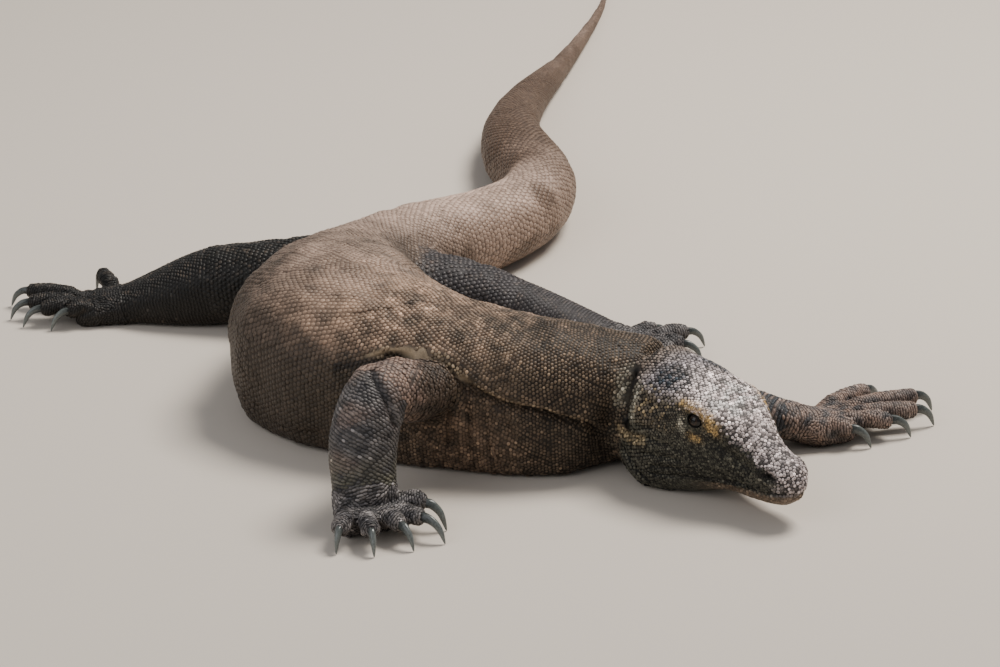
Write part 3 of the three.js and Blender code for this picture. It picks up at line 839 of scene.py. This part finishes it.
# %% Pitch, heading and middle line of each point
def line_data(points, owner):
    """The number of each point's middle line, how far along it the point lies, its angle round the
    line, the line's heading, and the point's distance from it."""
    best = np.full(len(points), FAR)
    number, arc, angle = np.zeros(len(points), int), np.zeros(len(points)), np.zeros(len(points))
    heading = np.zeros((len(points), 3))
    for index, (name, line) in enumerate(LINES.items()):
        may = np.array([name in OWNERS[node] for node in flesh])[owner]
        dist, at, foot, way, length = along(points, line)
        near = may & (dist < best)
        best[near], number[near], arc[near], heading[near] = dist[near], index, at[near] / length, way[near]
        out = points - foot
        side = normed(np.cross(way, (0, 0, 1)))
        angle[near] = np.arctan2((out * side).sum(1), out[:, 2])[near]
    return number, arc, angle, heading, best


points, normals, edges = points_of(skin_mesh), normals_of(skin_mesh), edges_of(skin_mesh)
owner, _ = owners_of(points)
number, _, _, heading, radius = line_data(points, owner)
heading = averaged(heading, edges, 0.5, 20)
heading = normed(heading - normals * (heading * normals).sum(1)[:, None])
slant = -0.4 * averaged(is_owned(owner, "right_forearm"), edges, 0.5, 20)
heading = normed(heading + slant[:, None] * np.cross(normals, heading))

left = on_left(points)
x, _, z = left.T
# The body: six millimetres, less on the neck, more on the belly, and its own size on each leg.
pitch = 6.0 - 1.8 * ramp(x, -330, -130) + 1.6 * ramp(-normals[:, 2], 0.5, 0.9)
LEG_PITCH = {"upper_arm": 5.2, "thigh": 5.8, "forearm": 4.3, "shank": 4.3, "hand": 3.9, "foot": 3.9}
for word, size in {**LEG_PITCH, "left_forearm": 4.6}.items():
    pitch[is_owned(owner, word)] = size
pitch = np.where(is_owned(owner, "tail"), np.clip(radius * 0.16, 3.2, 6.8), pitch)
# The head: smallest round the eyes and the nostrils, small on the cheeks, large on the snout.
in_head = is_owned(owner, "head", "jaw")
edge = np.interp(x, (0, 56, 106, 125, 163, 188, 200), (24, 33, 31, 23, 14, 9, -2))
face = 4.2 - 0.2 * ramp(x, -10, 40) + 1.4 * ramp(x, 110, 165)
face = face - 1.2 * ramp(edge - z, 0, 10) * ramp(x, 30, 60)
face += 0.8 * ramp(-40 - z, 0, 30)
on_right = to_head(points)[:, 1] < 0
eye_spot = np.where(on_right, round_eye(points, -1)[0], round_eye(points, 1)[0])
face = np.minimum(face, 2.2 + 1.8 * ramp(eye_spot, 13, 26))
nostril_spot = np.linalg.norm((left - NOSTRIL) * (0.7, 1, 1), axis=1)
face = np.minimum(face, 2.6 + 2.4 * ramp(nostril_spot, 6, 14))
pitch = averaged(np.where(in_head, face, pitch), edges, 0.5, 8)
on_digit = np.array(["_" in name[-2:] for name in LINE_NAMES])[number]
pitch[on_digit & is_owned(owner, "hand", "foot")] = 3.4
# Places without scales: the eyes, the nostrils, the mouth, the slit and the crest of the shoulder fold.
BARE_EYE, BARE_NOSTRIL = 10.5, 5.6
BARE_STRIPS = {"mouth": 0.9, "slit": 5.4}
bare = in_head & ((eye_spot < BARE_EYE) | (nostril_spot < BARE_NOSTRIL))
in_face = in_head | is_owned(owner, "neck")
for name, line, *_ in HEAD_LINES:
    if name in BARE_STRIPS:
        bare |= in_face & (along(unfolded, line)[0] < BARE_STRIPS[name])
dist, arc, over, length = beside(unfolded, normals, SHOULDER_LINE)
ridge = is_owned(owner, "neck", "shoulders", "right_upper_arm") * hill(over - 1.0, 2.0) * (dist < 12)
ridge = ridge * ramp(0.48 * length - arc, 0, 20) * ramp(arc, 0, 20)
bare |= ridge > 0.45
print("scale pitch from", round(float(pitch.min()), 1), "to", round(float(pitch.max()), 1), "mm")

# %% [markdown]
# ## Laying the scales in rows
# A reptile's scales grow in a lattice: each has six neighbours, in rows across the body. The lattice
# here grows the same way. It starts with one scale and offers each new scale six places for its
# neighbours, by the local heading and pitch. A place is taken if it lies on the skin and no other
# scale is too near. Where the body bends or narrows, the rows part and join, as they do on the animal.

# %% Data of each face
skin_faces = faces_of(skin_mesh)
corner = np.array([face[0] for face in skin_faces])
opposite = np.array([face[2] for face in skin_faces])


def of_faces(values):
    """Values of the points carried to the faces."""
    return (values[corner] + values[opposite]) / 2


face_pitch, face_centre = of_faces(pitch), of_faces(points)
face_heading, face_normal = normed(of_faces(heading)), normed(of_faces(normals))
face_bare = bare[corner] | bare[opposite]
row_gap = np.where(is_owned(owner, "tail"), 1.0, 0.86)[corner]
skin_tree = BVHTree.FromPolygons(points.tolist(), skin_faces)
print("faces:", len(skin_faces))


# %% Grow the lattice
ROOM = 0.8  # of the pitch: nothing else may sit nearer
FILLER_ROOM = 0.56
CELL = 3.0  # millimetres, of the boxes in which places are looked up
START = (-60, -700, 165)  # the top of the shoulders, where the first scale sits
NEIGHBOURS = ((0, 1), (0, -1), (1, 0.5), (1, -0.5), (-1, 0.5), (-1, -0.5))


def grow_scales():
    """Places, as (x, y, z, face, size) in the order they are taken."""
    cells, taken = {}, []
    pitch_of, gap_of, bare_of = face_pitch.tolist(), row_gap.tolist(), face_bare.tolist()
    head_of, normal_of = face_heading.tolist(), face_normal.tolist()

    def is_free(px, py, pz, room):
        cx, cy, cz = int(px // CELL), int(py // CELL), int(pz // CELL)
        span = range(-int(room // CELL) - 1, int(room // CELL) + 2)
        for i in span:
            for j in span:
                for k in span:
                    for qx, qy, qz, wide in cells.get((cx + i, cy + j, cz + k), ()):
                        if (px - qx) ** 2 + (py - qy) ** 2 + (pz - qz) ** 2 < (room + wide) ** 2 / 4:
                            return False
        return True

    def take(place, face, share):
        cell = tuple(int(p // CELL) for p in place)
        cells.setdefault(cell, []).append((*place, share * pitch_of[face]))
        taken.append((*place, face, share / ROOM))

    order = np.argsort(np.linalg.norm(face_centre - START, axis=1))
    for seed in order.tolist():
        place = face_centre[seed].tolist()
        if bare_of[seed] or not is_free(*place, pitch_of[seed]):
            continue
        done = len(taken)
        take(place, seed, ROOM)
        while done < len(taken):
            px, py, pz, face, _ = taken[done]
            done += 1
            step = pitch_of[face]
            hx, hy, hz = head_of[face]
            nx, ny, nz = normal_of[face]
            bx, by, bz = ny * hz - nz * hy, nz * hx - nx * hz, nx * hy - ny * hx
            for ahead, sideways in NEIGHBOURS:
                a, b = ahead * gap_of[face] * step, sideways * step
                offer = px + a * hx + b * bx, py + a * hy + b * by, pz + a * hz + b * bz
                if not is_free(*offer, ROOM * step):
                    continue
                place, _, found, away = skin_tree.find_nearest(offer, step)
                if place is None or bare_of[found] or away > 0.45 * step:
                    continue
                if is_free(*place, ROOM * pitch_of[found]):
                    take(place, found, ROOM)
    # Small scales fill what is left where rows part.
    for face in np.flatnonzero(~face_bare).tolist():
        middle = face_centre[face]
        for spot in (middle, (middle + points[corner[face]]) / 2, (middle + points[opposite[face]]) / 2):
            if is_free(*spot.tolist(), FILLER_ROOM * pitch_of[face]):
                take(spot.tolist(), face, FILLER_ROOM)
    return np.array(taken)


places = grow_scales()
roots, root_face, root_size = places[:, :3], places[:, 3].astype(int), places[:, 4]
print("scales:", len(roots), "of them fillers:", int((root_size < 1).sum()))

# %% [markdown]
# ## Hide material
# Skin and scales share one material. Each carries its marking as a colour attribute. A second
# attribute, rise, is 0 in the gaps between scales and 1 on their tops: the gaps are darkened as
# painted shade, and the tops keep their full colour, gather the dust and shine a little more. A
# third, tone, makes each scale a little lighter or darker than the next.

# %% Node helpers
def new_node(tree, kind, sockets, **settings):
    """A new node with its settings, wired up."""
    node = tree.nodes.new("ShaderNode" + kind)
    for key, value in settings.items():
        setattr(node, key, value)
    wire(node, sockets)
    return node


def reading(tree, name, output="Fac"):
    """An attribute of the mesh."""
    return new_node(tree, "Attribute", {}, attribute_name=name).outputs[output]


def scaled(tree, value, from_low, from_high, to_low, to_high):
    """A value carried from one range to another."""
    limits = {"From Min": from_low, "From Max": from_high, "To Min": to_low, "To Max": to_high}
    return new_node(tree, "MapRange", {"Value": value, **limits}).outputs["Result"]


def grain(tree, scale, detail=4):
    """Noise on the object's own coordinates."""
    place = new_node(tree, "TexCoord", {}).outputs["Object"]
    return new_node(tree, "TexNoise", {"Vector": place, "Scale": scale, "Detail": detail}).outputs["Fac"]


def mixed(tree, share, first, second):
    """Two colours blended by a share of the second."""
    return new_node(tree, "Mix", {0: share, 6: first, 7: second}, data_type="RGBA").outputs[2]


def product(tree, first, second):
    """Two values multiplied."""
    return new_node(tree, "Math", {0: first, 1: second}, operation="MULTIPLY").outputs["Value"]


def dimmed(tree, colour, share):
    """A colour made darker or lighter by a value."""
    return new_node(tree, "VectorMath", {0: colour, "Scale": share}, operation="SCALE").outputs["Vector"]


# %% The hide
hide, tree, shader = new_material("scaled_hide")
rise = reading(tree, "rise")
shade = dimmed(tree, reading(tree, "marking", "Color"), reading(tree, "tone"))
# Painted shade: the colour darkens towards the gaps, where rise is low.
shade = dimmed(tree, shade, scaled(tree, rise, 0.0, 0.7, 0.05, 1.0))
facing = new_node(tree, "NewGeometry", {}).outputs["Normal"]
upward = new_node(tree, "SeparateXYZ", {0: facing}).outputs["Z"]
dust_spots = scaled(tree, grain(tree, 120, 6), 0.5, 0.7, 0.0, 0.2)
dust = product(tree, scaled(tree, upward, 0.2, 1.0, 0.0, 1.0), dust_spots)
dust = product(tree, dust, scaled(tree, rise, 0.4, 1.0, 0.0, 1.0))
dusty = mixed(tree, dust, shade, (*linear(188, 164, 142), 1))
flecks = scaled(tree, grain(tree, 900, 3), 0.3, 0.7, 0.8, 1.15)
bump = new_node(tree, "Bump", {"Strength": 0.4, "Distance": 0.0004, "Height": grain(tree, 1300)})
wire(shader, {
    "Base Color": dimmed(tree, dusty, flecks), "Roughness": scaled(tree, rise, 0, 1, 0.6, 0.42),
    "Specular IOR Level": 0.3, "Normal": bump.outputs["Normal"],
})
print("hide material:", len(tree.nodes), "nodes")

# %% Dress the skin
def give(mesh, name, values):
    """Stores one number or one colour for each vertex."""
    if values.ndim == 1:
        mesh.attributes.new(name, "FLOAT", "POINT").data.foreach_set("value", values.astype(np.float32))
    else:
        full = np.concatenate([values, np.ones((len(values), 1))], 1).astype(np.float32)
        mesh.attributes.new(name, "FLOAT_COLOR", "POINT").data.foreach_set("color", full.ravel())


def add_piece(mesh, material):
    """Puts a finished mesh in the scene as a piece of the animal."""
    mesh.shade_smooth()
    mesh.materials.clear()
    mesh.materials.append(material)
    piece = placed(mesh.name, mesh)
    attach(piece, "root")
    return piece


# Painted shade in the gaps between the scales on each part: how light the gaps are, 0 black, 1 as light as
# the scales.
GAPS = {
    "belly": 0.42, "hips": 0.42, "tail": 0.42, "shoulders": 0.28, "neck": 0.14, "thigh": 0.36,
    "shank": 0.36, "forearm": 0.26, "upper_arm": 0.2, "head": 0.02, "jaw": 0.12,
}
gap_light = np.full(len(points), 0.14)
for word, value in GAPS.items():
    gap_light[is_owned(owner, word)] = value
left = on_left(unfolded)
# Painted shade in the slits, the nostrils and the mouth line, where the gaps are darkened further.
deep = np.zeros(len(points))
for paint, line, width, _ in FACE_MARKS:
    dist = along(left, line)[0]
    if paint == "nostril":
        deep = np.maximum(deep, in_face * hill(dist, 0.8 * width))
    else:
        gap_light = np.maximum(gap_light, 0.2 * in_head * hill(dist, width))
gap_light[is_owned(owner, "jaw") & (x > 80)] = 0.4
gap_light = averaged(gap_light, edges, 0.5, 6)
bare_soft = np.maximum(averaged(bare, edges, 0.5, 1), ridge)
leg_share = averaged(is_owned(owner, "arm", "hand", "thigh", "shank", "foot"), edges, 0.5, 60)
leg_share = ramp(leg_share + 0.12 * patchy(points, 12, 5), 0.35, 0.9)
give(skin_mesh, "marking", painted(unfolded, normals, owner, leg_share))
give(skin_mesh, "rise", (gap_light + (0.66 - gap_light) * bare_soft) * (1 - 0.85 * deep))
give(skin_mesh, "tone", np.ones(len(points)))
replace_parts(add_piece(skin_mesh, hide), *flesh)
print("skin dressed")

# %% [markdown]
# ## Eyes and eyelids
# Each eyeball is a sphere with a swollen cornea over a dark brown iris and a round pupil. Its colours
# follow an attribute that holds the angle from the middle of the pupil. The lids start as the rings
# of a sphere too. The rings are spread from the edge of an almond opening, over a rounded rim, out
# across the socket, and end under the skin of the head. Rows of tiny scales lie on them.

# %% Eye material
iris, tree, shader = new_material("wet_eye")
# Place of each ring, from the middle of the pupil (0) to the eye's equator (1), and its colour.
stops = ((0.0, (2, 2, 2)), (0.2, (2, 2, 2)), (0.215, (52, 34, 18)), (0.3, (28, 19, 12)),
         (0.4, (10, 8, 6)), (0.5, (5, 4, 4)))
rings = new_node(tree, "ValToRGB", {"Fac": reading(tree, "ring")})
for place, _ in stops[2:]:
    rings.color_ramp.elements.new(place)
for element, (place, colour) in zip(rings.color_ramp.elements, stops):
    element.position = place
    element.color = (*linear(*colour), 1)
streaks = scaled(tree, grain(tree, 1500, 5), 0.3, 0.75, 0.6, 1.5)
wire(shader, {
    "Base Color": dimmed(tree, rings.outputs["Color"], streaks), "Roughness": 0.08,
    "Specular IOR Level": 0.3, "Coat Weight": 0.15, "Coat Roughness": 0.02,
})
print("eye material ready")


# %% Eyeballs
EYE_RADIUS = 9.4
CORNEA_RISE = 0.5


def sphere_rings(bm, segments, rings):
    """A sphere of radius one, with each vertex's angle from the pole and angle round it."""
    bmesh.ops.create_uvsphere(bm, u_segments=segments, v_segments=rings, radius=1)
    return [
        (vert, math.acos(max(-1, min(1, vert.co.z))), math.atan2(vert.co.y, vert.co.x)) for vert in bm.verts
    ]


def at_eye(side, rho, angle, height):
    """The place at a distance from the eye's axis, an angle round it and a height along it."""
    centre, gaze, ahead, above = eye_frame(side)
    return Vector((centre + gaze * height + (ahead * math.cos(angle) + above * math.sin(angle)) * rho) * MM)


for side, word in SIDES.items():
    bm = bmesh.new()
    rings = []
    for vert, tilt, angle in sphere_rings(bm, 40, 28):
        size = EYE_RADIUS + CORNEA_RISE * (1 - ramp(tilt, 0.15, 0.8))
        vert.co = at_eye(side, size * math.sin(tilt), angle, size * math.cos(tilt))
        rings.append(tilt / (math.pi / 2))
    bmesh.ops.recalc_face_normals(bm, faces=bm.faces)
    mesh = mesh_from(bm, f"eyeball_{word}")
    give(mesh, "ring", np.array(rings))
    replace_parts(add_piece(mesh, iris), f"eye_{word}")
print("eyeballs made")


# %% Eyelids
LID_RINGS = 44
LID_WIDE, LID_HIGH = 8.6, 6.0  # half the width and half the height of the opening
LID_BALL, LID_END = 10.3, 14.5  # radius over the eyeball, and distance of the hidden edge from the axis
BLEND = 0.9


def lid_profile(angle, share):
    """Distance from the eye's axis and height along it, from the edge of the opening (share 0) to
    under the skin (share 1)."""
    edge = 1 / math.hypot(math.cos(angle) / LID_WIDE, math.sin(angle) / LID_HIGH)
    rho = edge + (LID_END - edge) * share
    ball = math.sqrt(max(0.0, LID_BALL**2 - min(rho, 10.0) ** 2))
    level = 5.6 + 1.6 * max(0.0, math.sin(angle)) * math.exp(-(((share - 0.75) / 0.3) ** 2))
    # The lid keeps to the higher of the ball and the level of the face, with a soft bend between.
    height = math.log(math.exp(ball * BLEND) + math.exp(level * BLEND)) / BLEND
    height -= 1.5 * math.exp(-share / 0.03)
    height += 0.2 * math.sin(26 * share + 1.5 * math.sin(2 * angle)) * math.sin(math.pi * share)
    return rho, height - 3.0 * max(0.0, share - 0.75) / 0.25


for side, word in SIDES.items():
    bm = bmesh.new()
    found = sphere_rings(bm, 60, LID_RINGS)
    for vert, tilt, angle in found:
        share = (tilt / math.pi - 1 / LID_RINGS) / ((LID_RINGS - 2) / LID_RINGS)
        rho, height = lid_profile(angle, share)
        vert.co = at_eye(side, rho, angle, height)
    poles = [vert for vert, tilt, _ in found if tilt < 0.03 or tilt > math.pi - 0.03]
    bmesh.ops.delete(bm, geom=poles, context="VERTS")
    bmesh.ops.recalc_face_normals(bm, faces=bm.faces)
    if sum(face.normal.dot(Vector(eye_frame(side)[1])) for face in bm.faces) < 0:
        bmesh.ops.reverse_faces(bm, faces=bm.faces)
    mesh = mesh_from(bm, f"eyelids_{word}")
    lid_points = points_of(mesh)
    lid_owner = np.full(len(lid_points), flesh.index("head"))
    lid_colour = painted(lid_points, normals_of(mesh), lid_owner, np.zeros(len(lid_points)))
    # The lids darken towards the opening: their own dark skin, deepened by painted shade of the socket.
    rho, angle, _ = round_eye(lid_points, side)
    outside = rho * np.hypot(np.cos(angle) / LID_WIDE, np.sin(angle) / LID_HIGH) - 1
    margin = hill(np.maximum(outside, 0), 0.34)
    give(mesh, "marking", lid_colour * (1 - 0.88 * margin)[:, None])
    give(mesh, "rise", np.full(len(lid_points), 0.5))
    give(mesh, "tone", np.exp(0.3 * patchy(lid_points, 3, 31)))
    add_piece(mesh, hide)
print("eyelids made")

# %% Places of the smallest scales, in rings on the lids
LID_PITCH, LID_SCALE = 1.9, 2.1
lid_spots, lid_normals, lid_headings = [], [], []
for side in SIDES:
    gaze = eye_frame(side)[1]
    for row, share in enumerate(np.linspace(0.2, 0.86, 5)):
        count = int(math.tau * lid_profile(0.8, share)[0] / LID_PITCH)
        for step in range(count):
            angle = math.tau * (step + 0.5 * (row % 2)) / count
            spot, outer = (
                np.array(at_eye(side, rho, angle, height)) / MM
                for rho, height in (lid_profile(angle, share), lid_profile(angle, share + 0.05))
            )
            lid_spots.append(spot)
            lid_headings.append(normed(outer - spot))
            across = np.cross(lid_headings[-1], gaze)
            normal = normed(np.cross(across, lid_headings[-1]))
            lid_normals.append(normal * np.sign(normal @ gaze))
lid_spots, lid_normals, lid_headings = map(np.array, (lid_spots, lid_normals, lid_headings))
print("scales on the lids:", len(lid_spots))

# %% [markdown]
# ## One scale, and the coat
# One scale is a low eight-sided dome. It starts as a short cone whose top is poked to a point; its
# foot sinks in the skin, and its back end stands a little prouder, so that the scales lie towards the
# tail. The coat is that one mesh copied to each place, turned and sized there, and joined in pieces
# for the parts of the body. Each copy is a tiny patch in the bake map, at its root's place on a flat
# sheet of its part: along the part one way and round it the other.

# %% The model scale
SUNK, TALL = 0.35, 1.35
bm = bmesh.new()
bmesh.ops.create_cone(bm, cap_ends=True, segments=8, radius1=1.0, radius2=0.74, depth=1.0)
top = max(bm.faces, key=lambda face: face.calc_center_median().z)
apex = bmesh.ops.poke(bm, faces=[top])["verts"][0]
apex.co.z += 0.3
apex.co.x += 0.12
bmesh.ops.triangulate(bm, faces=bm.faces)
model = mesh_from(bm, "model_scale")
model_points = np.array([vert.co[:] for vert in model.vertices])
model_faces = np.array(faces_of(model))
model_rise = np.where(model_points[:, 2] < 0, 0.0, np.where(model_points[:, 2] > 0.6, 1.0, 0.8))
model_points[:, 2] = (model_points[:, 2] + 0.5) / 1.3 * TALL - SUNK
bpy.data.meshes.remove(model)
print("one scale:", len(model_points), "points,", len(model_faces), "triangles")

# %% Where each scale sits and how large it is
def with_lids(of_skin, of_lids):
    """Values for the scales on the skin, then for those on the lids."""
    return np.concatenate([of_skin, np.broadcast_to(of_lids, (len(lid_spots), *np.shape(of_skin)[1:]))])


root_point = corner[root_face]
root_owner = with_lids(owner[root_point], flesh.index("head"))
root_number = with_lids(number[root_point], LINE_NAMES.index("head"))
root_normal = with_lids(face_normal[root_face], lid_normals)
root_heading = with_lids(face_heading[root_face], lid_headings)
root_pitch = with_lids(face_pitch[root_face] * root_size, LID_SCALE)
root_low = with_lids(gap_light[root_point], 0.0)
roots = with_lids(roots, lid_spots)
on_head, on_neck = is_owned(root_owner, "head", "jaw"), is_owned(root_owner, "neck")
on_crown = on_head & (root_low < 0.1)
on_trunk = is_owned(root_owner, "neck", "shoulders")
on_leg = is_owned(root_owner, "forearm", "hand", "shank", "foot")
# No scale lies quite true: each is turned, shifted and sized a little by chance.
wander = np.where(on_head, 0.22, 0.09)[:, None]
root_heading = normed(root_heading + wander * chance.normal(size=roots.shape))
root_heading = normed(root_heading - root_normal * (root_heading * root_normal).sum(1)[:, None])
root_across = np.cross(root_normal, root_heading)
shift = chance.normal(size=(2, len(roots), 1)) * np.where(on_head, 0.09, 0.05)[:, None] * root_pitch[:, None]
roots = roots + root_heading * shift[0] + root_across * shift[1]
root_pitch = root_pitch * chance.normal(1, np.where(on_head, 0.1, 0.06))
root_gap = with_lids(row_gap[root_face], 0.9) * np.select([on_leg, on_neck], [0.92, 1.05], 1.16)
root_wide = np.select([on_leg, on_neck, on_crown], [1.42, 0.97, 1.04], 1.1)
root_tall = root_pitch * np.select([on_head, on_leg, on_trunk], [0.19, 0.18, 0.19], 0.15)
root_tall *= chance.normal(1, 0.14, len(roots))
root_tall *= 1 - 0.5 * ramp(-root_normal[:, 2], 0.5, 0.9)
# Brightness of each scale: even on the back, broken on the neck and crown, with a few much lighter scales,
# part pale scales and part painted glints.
luck = chance.random(len(roots))
snout = to_head(roots)[:, 0]
spread = np.select([on_head, on_trunk], [0.3, 0.26], 0.12)
root_tone = np.exp(spread * chance.normal(size=len(roots)))
# Painted glints: one scale in ten on the neck and shoulders is made much lighter.
root_tone *= np.where(on_trunk & (luck < 0.1), 1.8, 1)
root_tone *= np.where(on_crown & (luck < 0.15 + 0.13 * (snout > 85)), 0.25, 1)
root_tone *= np.where(on_leg & (luck < 0.012), 3.0, 1)
root_tone *= np.where(on_head & (luck > 0.96), 2.0, 1)
root_tone = np.clip(root_tone, 0.2, 3)
# Some scales of the snout have a dark pit in the middle.
root_pit = on_head & (snout > 80) & (chance.random(len(roots)) < 0.55)
unmoved = roots + with_lids((unfolded - points)[root_point], 0.0)
root_colour = painted(unmoved, root_normal, root_owner, with_lids(leg_share[root_point], 0.0))
_, root_arc, root_angle, _, _ = line_data(roots, root_owner)
print("scales placed:", len(roots))


# %% Build the coat
COAT_LIMIT = 190000  # triangles in one piece
PATCH = 0.0015  # size of one scale in the bake map


def coat_mesh(name, corners):
    """A mesh of scales with their corners at the given places."""
    count, size = corners.shape[:2]
    faces = (model_faces[None] + np.arange(count)[:, None, None] * size).reshape(-1, 3)
    mesh = bpy.data.meshes.new(name)
    mesh.vertices.add(count * size)
    mesh.loops.add(faces.size)
    mesh.polygons.add(len(faces))
    mesh.loops.foreach_set("vertex_index", faces.ravel().astype(np.int32))
    mesh.polygons.foreach_set("loop_start", np.arange(0, faces.size, 3, dtype=np.int32))
    put_points(mesh, corners.reshape(-1, 3))
    mesh.validate()
    return mesh, faces


def lay_coat(name, chosen):
    """One piece of the coat: the scales whose numbers are given."""
    size = len(model_points)
    wide = root_pitch[chosen, None] * 0.5
    ahead = model_points[:, 0] * (wide * root_gap[chosen, None])
    aside = model_points[:, 1] * (wide * root_wide[chosen, None])
    above = model_points[:, 2] * (root_tall[chosen, None] * (1 + 0.25 * model_points[:, 0]))
    corners = roots[chosen, None] + (
        ahead[..., None] * root_heading[chosen, None] + aside[..., None] * root_across[chosen, None]
        + above[..., None] * root_normal[chosen, None])
    corners[..., 2] = np.maximum(corners[..., 2], SCALE_LOW)
    mesh, faces = coat_mesh(name, corners)
    # Each middle line has a column of the bake map, and its scales run up and across that.
    lines = np.unique(root_number[chosen])
    column = np.searchsorted(lines, root_number[chosen])
    arcs = root_arc[chosen]
    low = np.array([arcs[column == k].min() for k in range(len(lines))])
    high = np.array([arcs[column == k].max() for k in range(len(lines))]) + 1e-3
    share = (arcs - low[column]) / (high - low)[column]
    turn = root_angle[chosen] / math.tau + 0.5
    at = np.stack([(column + 0.04 + 0.92 * share) / len(lines), 0.02 + 0.96 * turn], 1)
    patch = (at[:, None] + model_points[None, :, :2] * PATCH).reshape(-1, 2)
    uv = mesh.uv_layers.new(name="OFBake")
    uv.data.foreach_set("uv", patch[faces.ravel()].astype(np.float32).ravel())
    rise = root_low[chosen, None] + (1 - root_low[chosen, None]) * model_rise[None]
    rise[root_pit[chosen]] = np.where(model_rise == 1, 0.2, rise[root_pit[chosen]])
    give(mesh, "marking", np.repeat(root_colour[chosen], size, 0))
    give(mesh, "rise", rise.ravel())
    give(mesh, "tone", np.repeat(root_tone[chosen], size))
    add_piece(mesh, hide)
    print(name, len(chosen), "scales,", len(faces), "triangles")


COATS = {
    "head": ("head",), "jaw": ("lower_jaw",), "neck": ("neck",), "shoulders": ("shoulders",),
    "belly": ("belly",), "hips": ("hips",), "tail": ("tail",), "arms": ("arm",), "hands": ("hand",),
    "legs": ("thigh", "shank"), "feet": ("foot",),
}
for name, words in COATS.items():
    chosen = np.flatnonzero(is_owned(root_owner, *words))
    chosen = chosen[np.argsort(root_arc[chosen], kind="stable")]
    parts = math.ceil(len(chosen) * len(model_faces) / COAT_LIMIT)
    for part, share in enumerate(np.array_split(chosen, parts), 1):
        lay_coat(f"scales_{name}" if parts == 1 else f"scales_{name}_{part}", share)

# %% [markdown]
# ## Claws
# The claws keep the shape of their solids. A copy of each is merged, swollen a little to make up for
# what smoothing takes, and subdivided, which turns six flat sides into one round hook. Dark horn
# pales towards the worn point, with fine flecks in it.

# %% Claw material
horn, tree, shader = new_material("claw_horn")
pale_share = scaled(tree, reading(tree, "reach"), 0.1, 1.0, 0.0, 1.0)
tint = mixed(tree, pale_share, (*linear(40, 44, 44), 1), (*linear(104, 110, 108), 1))
flakes = scaled(tree, grain(tree, 500, 6), 0.3, 0.7, 0.7, 1.3)
polish = scaled(tree, grain(tree, 300), 0.3, 0.7, 0.2, 0.38)
wire(shader, {"Base Color": dimmed(tree, tint, flakes), "Roughness": polish})
print("claw material ready")

# %% Rounded claws
claws = [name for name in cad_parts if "claw" in name]
for name in claws:
    mesh = modified(mesh_from(swollen([name], CLAW_SWELL), "horn"), "SUBSURF", levels=2)
    mesh.name = name.replace("claw", "nail")
    nail_points = points_of(mesh)
    root, end = (np.array(spot, float) for spot in LINES[name.replace("_claw", "")][1:])
    outward = normed(end - root)
    reach = (nail_points - end) @ outward
    reach = (reach - reach.min()) / np.ptp(reach)
    # The base swells a little and reaches back under the scales of the digit.
    off_axis = nail_points - nail_points[reach < 0.15].mean(0)
    off_axis -= outward * (off_axis @ outward)[:, None]
    base = 1 - ramp(reach, 0.0, 0.4)
    back = 4.0 * (1 - ramp(reach, 0.0, 0.12))
    nail_points += off_axis * 0.04 * base[:, None] - outward * back[:, None]
    nail_points[:, 2] = np.maximum(nail_points[:, 2], CLAW_LOW)
    put_points(mesh, nail_points)
    give(mesh, "reach", reach)
    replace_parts(add_piece(mesh, horn), name)
print("claws rounded:", len(claws))
